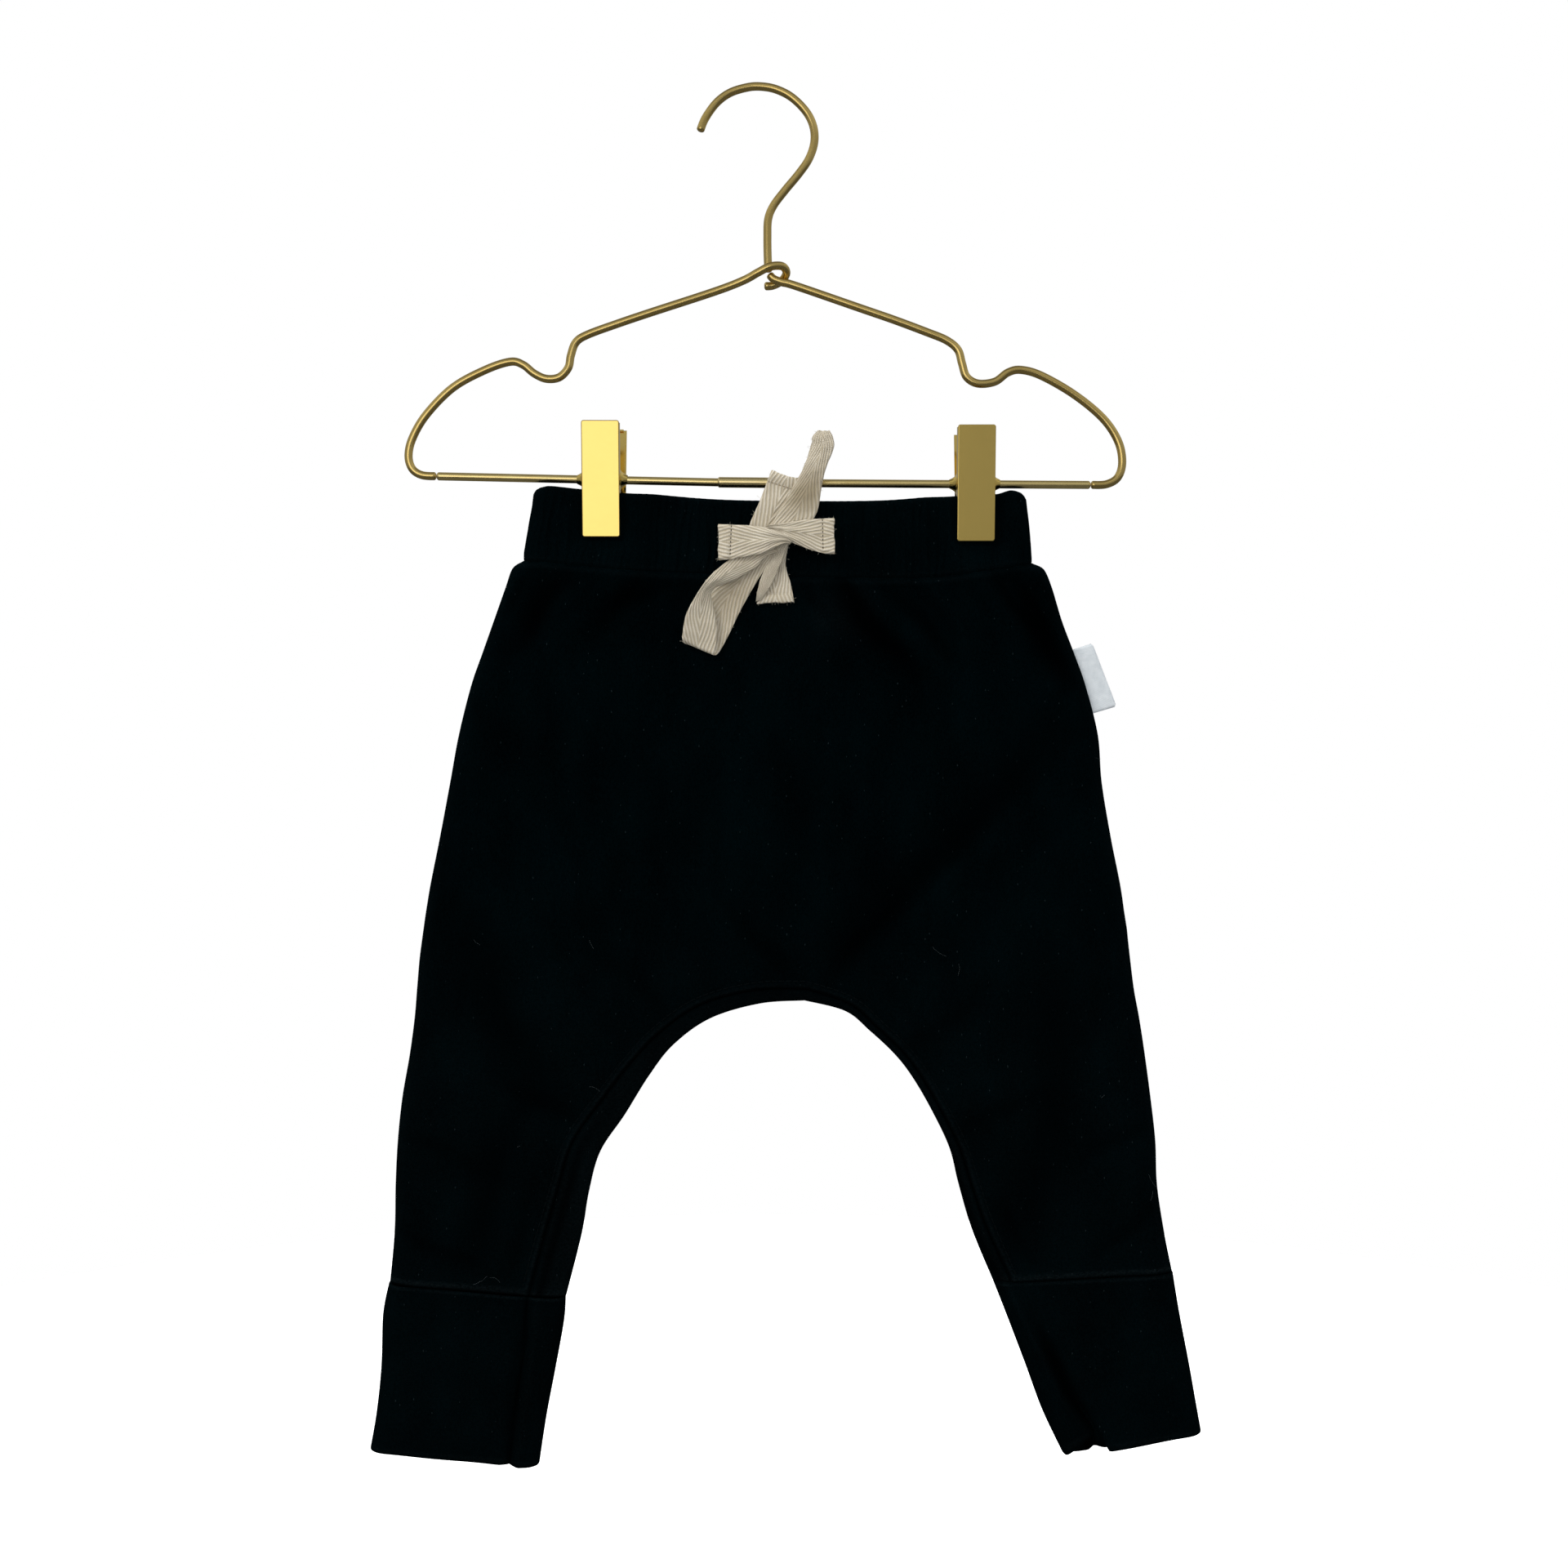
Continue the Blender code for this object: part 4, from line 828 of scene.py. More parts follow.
@dataclass
class Outline:
    """The edges where the body cloth rounds away, with the roll of the inseam along the arch."""

    left: HalfCut
    right: HalfCut
    cuff_reach: float = 22.0
    starts: Array = field(init=False)
    ends: Array = field(init=False)
    arch: Array = field(init=False)
    arch_roll: Array = field(init=False)
    arch_inward: Array = field(init=False)

    def __post_init__(self) -> None:
        """Lists every short stretch of the edges."""
        a, b = self.left.crotch, self.right.crotch
        self.arch = np.vstack([self.left.rows[a:, 2:4][::-1], self.right.rows[b + 1:, 2:4]])
        self.arch_roll = np.concatenate([self.left.rows[a:, 5][::-1], self.right.rows[b + 1:, 5]])
        self.arch_inward = self.inward_of(self.arch)
        for half, end in ((self.left, 0), (self.right, -1)):
            along_row = half.rows[-1, :2] - half.rows[-1, 2:4]
            near = smooth(1.0 - np.hypot(*(self.arch - self.arch[end]).T) / self.cuff_reach)[:, None]
            self.arch_inward = unit(self.arch_inward * (1.0 - near) + unit(along_row) * near)
        lines = [self.left.rows[:, :2], self.arch, self.right.rows[::-1, :2]]
        self.starts = np.vstack([line[:-1] for line in lines])
        self.ends = np.vstack([line[1:] for line in lines])

    @staticmethod
    def inward_of(line: Array) -> Array:
        """The direction into the cloth at each point of a line that has the cloth on its left hand."""
        along = unit(np.gradient(line, axis=0))
        return np.stack([-along[:, 1], along[:, 0]], axis=1)

    @staticmethod
    def distances(places: Array, starts: Array, ends: Array) -> tuple[Array, Array]:
        """How far each place is from the nearest stretch, and that stretch's number."""
        best = np.full(len(places), 1e9)
        which = np.zeros(len(places), int)
        for k, (a, b) in enumerate(zip(starts, ends)):
            run = b - a
            t = np.clip((places - a) @ run / (run @ run), 0.0, 1.0)
            gap = np.hypot(*(places - a - t[:, None] * run).T)
            nearer = gap < best
            best[nearer] = gap[nearer]
            which[nearer] = k
        return best, which

    def edge_distance(self, places: Array) -> Array:
        """How far each place is from the nearest edge."""
        return self.distances(places, self.starts, self.ends)[0]

    def seam_offset(self, places: Array) -> Array:
        """How far inside the inseam's stitching line each place is."""
        gap, which = self.distances(places, self.arch[:-1], self.arch[1:])
        return gap - self.arch_roll[which]


@dataclass
class TrouserPanel:
    """The front or the back of the joggers, cut in one piece with both legs."""

    name: str
    side: Side
    outline: Outline
    folds: tuple[Fold, ...]
    creases: tuple[Fold, ...]
    columns: int = 92
    crowding: float = 0.93
    wall: float = 1.1
    body_round: float = 12.0
    half_gap: float = 0.15
    fold_shore: float = 9.0
    crease_shore: float = 4.0
    fold_end: float = 0.35
    roll_steps: int = 16
    trough_tall: float = 24.0
    trough_depth: float = 1.5
    deep_fold: float = 1.7
    slow_waves: Triples = ((61.0, 24.0, 0.32), (43.0, 108.0, 0.24), (83.0, 71.0, 0.34), (27.0, 148.0, 0.12))
    slow_shore: float = 14.0
    pucker: float = 0.30
    pucker_reach: float = 5.5
    waist_welts: Triples = ((0.4, 2.6, 1.7), (-0.3, -0.2, 1.0))
    inseam_welts: Triples = ((0.30, 1.2, 1.1), (0.30, -1.6, 1.3), (-0.5, 0.0, 0.6), (-0.12, 3.2, 0.5))
    hem_welts: Triples = ((0.5, 2.2, 1.5), (-0.3, 0.0, 0.9))
    edge_shore: float = 2.0
    # Painted shade along the inseam's ditch and along the rolled inseam low on the legs: height, place and
    # width.
    seam_painted_shade: Triples = ((0.75, -0.2, 0.9),)
    roll_painted_shade: Triples = ((0.8, -4.5, 2.2),)
    seam_frost: Triples = ((0.17, 1.3, 0.8),)
    hem_frost: Triples = ((0.55, 1.5, 0.75),)
    waist_frost: Triples = ((0.07, 2.0, 0.9),)
    edge_frost: Triples = ((0.06, 2.0, 1.6),)
    bow_frost: Triples = ((0.12, 16.0, 9.0),)
    under_bow: tuple[float, float] = (18.0, 52.0)
    roll_frost: float = 0.10
    low_frost: float = 0.05
    flat_size: tuple[float, float] = (0.335, 0.315)
    flat_area: float = 0.066

    def swell(self, distance: Array, depth: Array) -> Array:
        """How far the cloth stands out at a distance from its edge."""
        reach = 1.0 - np.minimum(distance, self.body_round) / self.body_round
        return depth * np.sqrt(np.maximum(0.0, 1.0 - reach * reach))

    def fold_rise(self, folds: Sequence[Fold], x: Array, z: Array) -> Array:
        """The height of the folds at each place."""
        rise = np.zeros_like(x)
        for k, fold in enumerate(folds):
            dx, dz = fold.x2 - fold.x1, fold.z2 - fold.z1
            run = math.hypot(dx, dz)
            t = ((x - fold.x1) * dx + (z - fold.z1) * dz) / run**2
            along = np.clip(t, 0.0, 1.0)
            bend = 0.35 * fold.width * np.sin(math.pi * 1.6 * along + 1.3 * k)
            across = ((x - fold.x1) * dz - (z - fold.z1) * dx) / run - bend
            past = np.maximum(np.abs(t - 0.5) - 0.5, 0.0) * run
            taper = self.fold_end + (1.0 - self.fold_end) * np.sin(math.pi * (0.1 + 0.8 * along))
            steep = np.where(across > 0, 0.8, 1.25)
            rise -= fold.depth * taper * bell(np.hypot(across * steep, past), fold.width)
        return rise

    def relief(self, x: Array, z: Array, distance: Array, seam: Array, hem: Array) -> Array:
        """Everything that lifts or sinks the cloth from its plain rounded form.

        Args:
            x: Places across.
            z: Heights.
            distance: How far each place is from the nearest edge.
            seam: How far inside the inseam's stitching line it is.
            hem: How far above the cuff seam it is.

        Returns:
            The rise of each place, and how much painted shade it takes, from 0 to 1, by how deep in a fold or
            seam ditch it lies.
        """
        shore = smooth(distance / self.fold_shore)
        rise = self.fold_rise(self.folds, x, z) * shore
        rise += self.fold_rise(self.creases, x, z) * smooth(distance / self.crease_shore)
        # Painted shade: fold troughs darken the knit's colour, fully where they reach deep_fold.
        painted_fold_shade = np.clip(-rise / self.deep_fold, 0.0, 1.0)
        below = SEAM.at(x) - z
        trough = PINCH.at(x) * smooth(1.0 - below / self.trough_tall)
        rise -= self.trough_depth * trough * shore
        rise += ripple(x, z, self.slow_waves) * smooth(distance / self.slow_shore)
        pucker = np.sin(x / 1.31 + 1.1 * np.sin(x / 7.3) + 0.8 * np.sin(z / 5.1 + x / 11.0))
        size = 0.6 + 0.4 * np.sin(x / 9.7 + 2.0)
        rise += self.pucker * pucker * size * bell(below - 1.0, self.pucker_reach) * smooth(distance / 3.0)
        near = smooth(distance / self.edge_shore)
        rise += welts(below, self.waist_welts)
        rise += (welts(seam, self.inseam_welts) + welts(hem, self.hem_welts)) * near
        # Painted shade in the inseam's ditch, and along the rolled inseam low on the legs.
        painted_fold_shade = np.maximum(painted_fold_shade, welts(seam, self.seam_painted_shade) * near)
        painted_fold_shade = np.maximum(painted_fold_shade, welts(seam, self.roll_painted_shade) * smooth((-400.0 - z) / 60.0))
        return rise, painted_fold_shade

    def frost_at(self, x: Array, z: Array, distance: Array, seam: Array, hem: Array) -> Array:
        """Where lint has gathered: along the seams, on the rolled inseam and at rubbed edges."""
        below = SEAM.at(x) - z
        low = smooth((-300.0 - z) / 120.0)
        left, right = self.under_bow
        value = welts(seam, self.seam_frost) * (0.25 + 0.75 * low)
        value += welts(hem, self.hem_frost) + welts(below, self.waist_frost)
        value += (self.roll_frost * smooth(-seam / 3.0) + self.low_frost) * low
        value += welts(distance, self.edge_frost)
        value += welts(below, self.bow_frost) * smooth((x - left) / 9.0) * smooth((right - x) / 9.0)
        return np.clip(value, 0.0, 1.0)

    def half_net(self, half: HalfCut) -> tuple[Array, Array]:
        """One half's net.

        Args:
            half: The half's cut.

        Returns:
            The points by row and column, and the frost and the painted fold shade on each.
        """
        rows, numbers = half.rows, half.numbers
        first = half.crotch
        inner = rows[:, 2:4].copy()
        rolled = numbers >= CROTCH_ROW - 1e-9
        inward = self.arch_inward_for(half)
        end_distance = np.where(rolled, 0.0, np.nan)
        if self.side is Side.FRONT:
            roll = rows[:, 5].copy()
            before = rows[first, 5] * (numbers / CROTCH_ROW) * smooth((numbers - 6.0) / 4.0)
            roll[~rolled] = before[~rolled]
            inner += inward * roll[:, None]
            end_distance = np.where(rolled, rows[:, 5], np.nan)
        part = crowded(self.columns, self.crowding)
        x = rows[:, :1] + (inner[:, :1] - rows[:, :1]) * part
        z = rows[:, 1:2] + (inner[:, 1:2] - rows[:, 1:2]) * part
        straight = rows[0, 1] + (inner[0, 1] - rows[0, 1]) * part
        sag = (SEAM.at(x) - self.half_gap) - straight[None, :]
        z = z + sag * smooth(1.0 - numbers / 5.0)[:, None] * smooth(part / 0.02)[None, :]
        distance = self.outline.edge_distance(np.stack([x, z], axis=-1).reshape(-1, 2)).reshape(x.shape)
        distance[:, 0] = 0.0
        known = ~np.isnan(end_distance)
        distance[known, -1] = end_distance[known]
        hem = np.hypot(x - x[-1:], z - z[-1:])
        return self.raised(x, z, distance, rows[:, 4:5], hem, self.side.value)

    def arch_inward_for(self, half: HalfCut) -> Array:
        """The direction in from the arch's edge for each row, and the crotch's own for the rows above it."""
        first = half.crotch
        line, inward = self.outline.arch, self.outline.arch_inward
        result = np.zeros((len(half.rows), 2))
        for k, row in enumerate(half.rows):
            place = row[2:4] if k >= first else half.rows[first, 2:4]
            result[k] = inward[int(np.argmin(np.hypot(*(line - place).T)))]
        return result

    def raised(
        self, x: Array, z: Array, distance: Array, depth: Array, hem: Array, facing: int
    ) -> tuple[Array, Array]:
        """Places on the flat cut lifted to where the hanging cloth is, and the frost and painted fold shade
        there.
        """
        flat = np.stack([x, z], axis=-1).reshape(-1, 2)
        seam = self.outline.seam_offset(flat).reshape(x.shape)
        rise, painted_fold_shade = self.relief(x, z, distance, seam, hem)
        out = np.maximum(self.swell(distance, depth) + rise, self.half_gap)
        points = np.stack([x, out * facing, z], axis=-1)
        return points, np.stack([self.frost_at(x, z, distance, seam, hem), painted_fold_shade], axis=-1)

    def roll_net(self, half: HalfCut) -> tuple[Array, Array]:
        """The strip of the back that wraps the arch's edge and ends at the inseam's stitching."""
        first = half.crotch
        rows = half.rows[first:]
        inward = self.arch_inward_for(half)[first:]
        part = (np.arange(self.roll_steps + 1) / self.roll_steps) ** 1.8
        offset = (rows[:, 5:6] - 0.25) * part
        x = rows[:, 2:3] + inward[:, :1] * offset
        z = rows[:, 3:4] + inward[:, 1:] * offset
        hem = np.hypot(x - x[-1:], z - z[-1:])
        points, frost = self.raised(x, z, offset, rows[:, 4:5], hem, -1)
        points[:, 0, 1] = self.half_gap
        return points, frost

    def build(self) -> Item:
        """Makes the panel's mesh, gives it its wall and dresses it."""
        nets = []
        for half in (self.outline.left, self.outline.right):
            nets.append(self.half_net(half))
            if self.side is Side.BACK:
                nets.append(self.roll_net(half))
        item = joined(self.name, [(points, grid_faces(*points.shape[:2])) for points, _ in nets], 180.0)
        marks = np.vstack([marked.reshape(-1, 2) for _, marked in nets])
        mark(item, "frost", marks[:, 0])
        mark(item, "painted_fold_shade", marks[:, 1])
        tidy_mesh(item, 0.01)
        turn_to(item, (0.0, self.side.value, 0.0))
        shell(item, self.wall)
        KNIT.dress(item)
        return item


def turn_to(item: Item, way: Place) -> None:
    """Turns an open surface over if most of it looks away from a direction."""
    mesh = item.data
    normals = np.zeros(len(mesh.polygons) * 3, np.float32)
    areas = np.zeros(len(mesh.polygons), np.float32)
    mesh.polygons.foreach_get("normal", normals)
    mesh.polygons.foreach_get("area", areas)
    if float((normals.reshape(-1, 3) @ np.array(way)) @ areas) < 0.0:
        mesh.flip_normals()


# ==== waistband and cuffs
class BandRing(NamedTuple):
    """The band's left and right ends at one height."""

    part_down: float
    left_x: float
    right_x: float


@dataclass
class Waistband:
    """A doubled tube over elastic, ruched in fine upright gathers that the clips press flat."""

    name: str = "waistband_cloth"
    depth: float = 7.0
    wall: float = 2.4
    jaw_depth: float = 2.9
    pinch_end: float = 0.6
    low_pinch: float = 0.25
    gathers: int = 128
    points_per_gather: int = 9
    rise: float = 0.62
    gather_wander: Triples = ((1.3, 7.0, 2.0), (0.9, 17.0, -3.1), (0.8, 23.0, 5.0), (0.5, 41.0, 11.0))
    gather_size: Triples = ((0.35, 37.0, 3.0), (0.25, 59.0, -6.0))
    pressed_flat: float = 0.85
    seam_calm: float = 0.45
    top_share: float = 0.35
    inner_share: float = 0.25
    above_seam: float = 0.15
    outer_rows: int = 24
    fold_downs: tuple[float, ...] = (0.07, 0.045, 0.026, 0.012, 0.004, 0.0)
    fold_insets: tuple[float, ...] = (0.0, 0.05, 0.16, 0.36, 0.64, 0.95)
    inner_downs: tuple[float, ...] = (0.0, 0.004, 0.015, 0.04)
    inner_insets: tuple[float, ...] = (1.3, 1.75, 2.1, 2.3)
    inner_rows: int = 9
    inner_end: float = 1.05
    curl: float = 0.3
    flat_size: tuple[float, float] = (0.43, 0.042)
    rings: tuple[BandRing, ...] = table(
        BandRing,
        (0, -93, 110), (0.07, -93.8, 110.9), (0.6, -96, 112.6), (1, -98, 113.3),
    )

    def ring_at(self, down: Array) -> tuple[Array, Array]:
        """The band's left and right ends at each part of its height."""
        parts, left, right = np.array(self.rings).T
        return np.interp(down, parts, left), np.interp(down, parts, right)

    def place(self, around: Array, down: Array, inset: Array) -> Array:
        """Points of the band.

        Args:
            around: Parts of the way round, from 0 at the left end, across the front and back again.
            down: Parts of the way from the top fold to the seam.
            inset: How far in from the plain outer wall each point is.

        Returns:
            The points.
        """
        left, right = self.ring_at(down)
        half_width, middle = (right - left) / 2, (right + left) / 2
        straight = 2 * (half_width - self.depth)
        bend = math.pi * self.depth
        run = (around % 1.0) * 2 * (straight + bend)
        back = run >= straight + bend
        run = np.where(back, run - straight - bend, run)
        first = run < bend / 2
        last = run > bend / 2 + straight
        a1 = np.clip(run / self.depth, 0.0, math.pi / 2)
        a2 = np.clip((run - bend / 2 - straight) / self.depth, 0.0, math.pi / 2)
        flat_run = -half_width + self.depth + run - bend / 2
        across = np.where(first, -half_width + self.depth * (1 - np.cos(a1)), flat_run)
        across = np.where(last, half_width - self.depth * (1 - np.sin(a2)), across)
        out = np.where(first, np.sin(a1), np.where(last, np.cos(a2), 1.0))
        nx = np.where(first, -np.cos(a1), np.where(last, np.sin(a2), 0.0))
        across, nx = np.where(back, -across, across), np.where(back, -nx, nx)
        x = middle + across
        top, bottom = TOP.at(x), SEAM.at(x) + self.above_seam
        z = top + (bottom - top) * down
        let_go = smooth((down - self.pinch_end) / (1 - self.pinch_end))
        pinch = PINCH.at(x) * (1.0 - (1.0 - self.low_pinch) * let_go)
        depth = self.depth + (self.jaw_depth - self.depth) * pinch
        y = (out * depth - out * inset) * np.where(back, 1.0, -1.0)
        return np.stack([x - nx * inset, y, z], axis=-1)

    def gather_rise(self, around: Array, down: Array) -> Array:
        """The height of the gathers: narrow ridges that wander, merge and fade."""
        turn = 2 * math.pi * around
        phase = self.gathers * turn + swings(turn, down, self.gather_wander)
        ridge = 0.5 + 0.5 * np.cos(phase)
        narrow = ridge**1.5 - 0.42
        size = 1.0 + swings(turn, down, self.gather_size)
        half_pitch = 0.3 * np.cos(0.5 * phase + 2.4 * np.sin(9 * turn))
        return self.rise * size * (narrow + half_pitch * smooth(np.sin(2.5 * down + 13 * turn)))

    def build(self) -> Item:
        """Makes the band: outer wall, top fold, inner wall and lower edge in one net."""
        count = self.gathers * self.points_per_gather
        around = np.arange(count) / count
        downs = np.concatenate([np.linspace(1.0, 0.1, self.outer_rows), self.fold_downs])
        tuck = np.concatenate([np.zeros(self.outer_rows), self.fold_insets])
        rows = []
        for down, inset in zip(downs, tuck):
            height = self.gather_rise(around, np.full(count, down))
            plain = self.place(around, np.full(count, down), np.zeros(count))
            pressed = PINCH.at(plain[:, 0]) * (1.0 - smooth((down - 0.5) / 0.4))
            grown = self.top_share + (1.0 - self.top_share) * smooth(down / 0.12)
            calm = 1.0 - self.seam_calm * smooth((down - 0.86) / 0.14)
            height = height * (1.0 - self.pressed_flat * pressed) * grown * calm
            curl = self.curl * smooth((down - 0.95) / 0.05)
            rows.append(self.place(around, np.full(count, down), inset + curl - height))
        inside = np.concatenate([self.inner_downs, np.linspace(0.1, self.inner_end, self.inner_rows)])
        depths = np.concatenate([self.inner_insets, np.full(self.inner_rows, self.wall)])
        for down, inset in zip(inside, depths):
            soft = self.gather_rise(around, np.full(count, down)) * smooth(down / 0.1)
            rows.append(self.place(around, np.full(count, down), inset + self.inner_share * soft))
        points = np.array(rows)
        item = mesh_piece(self.name, points, grid_faces(*points.shape[:2], wrap=True, loop=True))
        outer = np.concatenate([downs, np.full(len(inside), 0.5)])
        frost = welts(outer, ((0.05, 0.97, 0.03), (0.05, 0.02, 0.05))) + 0.02
        mark(item, "frost", np.repeat(frost, count))
        tidy_mesh(item, 0.001)
        KNIT.dress(item)
        return item


class CuffRing(NamedTuple):
    """A ring of a cuff, with the place and depth of the inseam's valley on its front."""

    outer_x: float
    outer_z: float
    inner_x: float
    inner_z: float
    valley: float
    valley_depth: float


@dataclass
class Cuff:
    """A folded tube of knit, seamed to the leg, with the inseam's valley down its front and shade painted
    down that valley.
    """

    name: str
    rings: tuple[CuffRing, ...]
    notch: float = 0.0
    notch_before: float = 0.09
    groove: float = 0.35
    groove_width: float = 0.013
    lip: float = 0.7
    lip_width: float = 0.025
    slow_waves: Triples = ((31.0, 62.0, 0.3), (19.0, 118.0, 0.14), (47.0, 12.0, 0.3))
    seam_welts: Triples = ((0.35, 2.0, 1.4), (-0.35, 0.0, 0.8))
    frost_lines: Triples = ((0.14, 1.5, 1.0), (0.16, 74.0, 1.2))
    valley_frost: Triples = ((0.05, 0.06, 0.015),)
    height: float = 75.0
    shade_width: float = 0.03
    shade_start: float = 0.8
    shade_from: float = -0.2
    depth: float = 5.8
    wall: float = 2.2
    edge_round: float = 7.0
    valley_before: float = 0.07
    valley_after: float = 0.065
    columns: int = 76
    crowding: float = 0.9
    row_step: float = 1.5
    flat_size: tuple[float, float] = (0.155, 0.078)

    def rows(self) -> Array:
        """Smooth rings from the seam down to the hem."""
        rings = np.array(self.rings)
        lengths = np.hypot(*(rings[1:, :2] - rings[:-1, :2]).T)
        return curve_through(rings, [max(3, round(n / self.row_step)) for n in lengths])

    def surface(self, rows: Array, inset: Array, rough: float) -> Array:
        """The cuff's points, by ring and by place round it.

        Args:
            rows: The rings.
            inset: How far in from the plain outer wall each ring is.
            rough: How much of the fine relief this layer shows.

        Returns:
            The points.
        """
        front = crowded(self.columns, self.crowding)
        part = np.concatenate([front, front[::-1][1:-1]])[None, :]
        facing = np.concatenate([np.full(self.columns, -1.0), np.full(self.columns - 2, 1.0)])[None, :]
        dx, dz = (rows[:, 2] - rows[:, 0])[:, None], (rows[:, 3] - rows[:, 1])[:, None]
        width = np.hypot(dx, dz)
        distance = np.minimum(part, 1.0 - part) * width
        toward = np.where(part < 0.5, 1.0, -1.0)
        reach = 1.0 - np.minimum(distance, self.edge_round) / self.edge_round
        swell = self.depth * np.sqrt(np.maximum(0.0, 1.0 - reach * reach))
        slope, out = -reach / self.edge_round, swell / self.depth**2
        length = np.hypot(slope, out)
        slope, out = slope / length, out / length
        run = np.linspace(0.0, 1.0, len(rows))[:, None]
        off = part - rows[:, 4:5]
        share = smooth(1.0 - np.maximum(-off / self.valley_before, off / self.valley_after)) ** 1.3
        groove = bell(off, self.groove_width)
        share = (share + self.groove * groove) * (facing < 0)
        turned_up = np.where(off > 0, 1.0 - off / (1.0 - rows[:, 4:5]), smooth(1.0 + off / self.notch_before))
        lift = self.notch * np.clip(turned_up, 0.0, 1.0) * (facing < 0) * smooth((run - 0.7) / 0.3)
        x, z = rows[:, :1] + dx * part, rows[:, 1:2] + dz * part + lift
        lip = self.lip * bell(off - 0.9 * self.valley_after, self.lip_width)
        lip = lip * (facing < 0) * smooth(run / 0.2)
        soft = ripple(x, z + 300.0 * (facing > 0), self.slow_waves)
        down = run * np.hypot(rows[-1, 0] - rows[0, 0], rows[-1, 1] - rows[0, 1])
        relief = (soft + lip) * smooth(distance / 6.0) + welts(down, self.seam_welts) * smooth(distance / 1.5)
        y = swell - rows[:, 5:6] * share + relief * rough
        inset = np.asarray(inset)[:, None]
        step = slope * toward * inset / width
        return np.stack([x - dx * step, (y - out * inset) * facing, z - dz * step], axis=-1)

    def build(self) -> Item:
        """Makes the cuff: outer wall, hem fold, inner wall and seam edge in one net."""
        rows = self.rows()
        hem = rows[-1]
        before = rows[-6]
        along = (hem - before) / 5
        turn = np.linspace(0.0, math.pi, 9)
        outer = self.surface(rows, np.zeros(len(rows)), 1.0)
        fold = np.repeat(hem[None, :], len(turn), axis=0)
        drop = 0.5 * self.wall * np.sin(turn)
        fold = fold + along * (drop / max(1e-6, np.hypot(along[0], along[1])))[:, None]
        inset = 0.5 * self.wall * (1.0 - np.cos(turn))
        bottom = self.surface(fold, inset, 1.0)
        bottom[:, :, 2] += (outer[-1, :, 2] - bottom[0, :, 2])[None, :]
        inner = self.surface(rows[::-3], np.full(len(rows[::-3]), self.wall), 0.4)
        points = np.concatenate([outer, bottom[1:-1], inner])
        item = mesh_piece(self.name, points, grid_faces(*points.shape[:2], wrap=True, loop=True))
        run = np.concatenate([np.linspace(0.0, 1.0, len(outer)), np.full(len(points) - len(outer), 0.5)])
        frost = welts(run * self.height, self.frost_lines) + 0.05
        front = crowded(self.columns, self.crowding)
        valley = np.interp(run, (0.0, 1.0), (rows[0, 4], rows[-1, 4]))[:, None]
        off = np.concatenate([front, np.full(self.columns - 2, 9.0)])[None, :] - valley
        frost = frost[:, None] + welts(off, self.valley_frost)
        # Painted shade: a dark band down the inseam's valley, wider towards the hem, for the knit to mix in.
        width = self.shade_width * (self.shade_start + (1.0 - self.shade_start) * run)[:, None]
        shade = bell(off, width) * smooth((run - self.shade_from) / 0.35)[:, None]
        mark(item, "frost", frost)
        mark(item, "painted_fold_shade", np.clip(shade, 0.0, 1.0))
        tidy_mesh(item, 0.001)
        KNIT.dress(item)
        return item


LEFT_CUFF = table(
    CuffRing,
    (-154.1, -495.9, -80.6, -501.8, 0.79, 0.8), (-156.6, -509, -81.3, -512, 0.79, 1.6),
    (-157.3, -530, -84.9, -532, 0.80, 2.2), (-159.2, -549, -88.6, -551.5, 0.81, 2.2),
    (-161.8, -564.3, -91.5, -570.6, 0.825, 1.8),
)
RIGHT_CUFF = table(
    CuffRing,
    (171.9, -491.5, 97.2, -495.3, 0.88, 0.6), (174.6, -508, 102.6, -509, 0.87, 1.2),
    (178.6, -529, 110.4, -529.5, 0.83, 2.6), (181.6, -546, 117.6, -549, 0.79, 2.8),
    (183.6, -557.1, 125.8, -566.2, 0.765, 2.8),
)


# ==== sewing and lint
def capsule(start: Array, end: Array, radius: float, sides: int = 6) -> Part:
    """A short round-ended thread between two points.

    Args:
        start: Its first end.
        end: Its other end.
        radius: Its radius.
        sides: How many sides it has.

    Returns:
        Its points and faces.
    """
    start, end = np.asarray(start, float), np.asarray(end, float)
    along = (end - start) / max(1e-9, np.linalg.norm(end - start))
    aside = unit(np.cross(along, (0.3, 0.2, 0.93)))
    third = np.cross(along, aside)
    turns = ring_turns(sides)
    ring = np.cos(turns)[:, None] * aside + np.sin(turns)[:, None] * third
    points = []
    for part, shift, size in ((0.0, 0.0, 0.35), (0.0, 0.6, 0.85), (1.0, -0.6, 0.85), (1.0, 0.0, 0.35)):
        points.append(start + (end - start) * part + along * radius * shift + ring * radius * size)
    return np.vstack(points), grid_faces(4, sides, wrap=True) + end_caps(sides, 3 * sides)


def stitches_along(line: Array, pitch: float, fill: float, radius: float) -> list[Part]:
    """Running stitches along a line.

    Args:
        line: The line's points.
        pitch: From one stitch to the next.
        fill: The part of each pitch that shows.
        radius: The thread's radius.

    Returns:
        The points and faces of each stitch.
    """
    lengths = np.concatenate([[0.0], np.cumsum(np.linalg.norm(np.diff(line, axis=0), axis=1))])
    result = []
    for k in range(int(lengths[-1] / pitch)):
        ends = np.array((k, k + fill)) * pitch
        ends = np.column_stack([np.interp(ends, lengths, line[:, c]) for c in range(3)])
        result.append(capsule(*ends, radius))
    return result


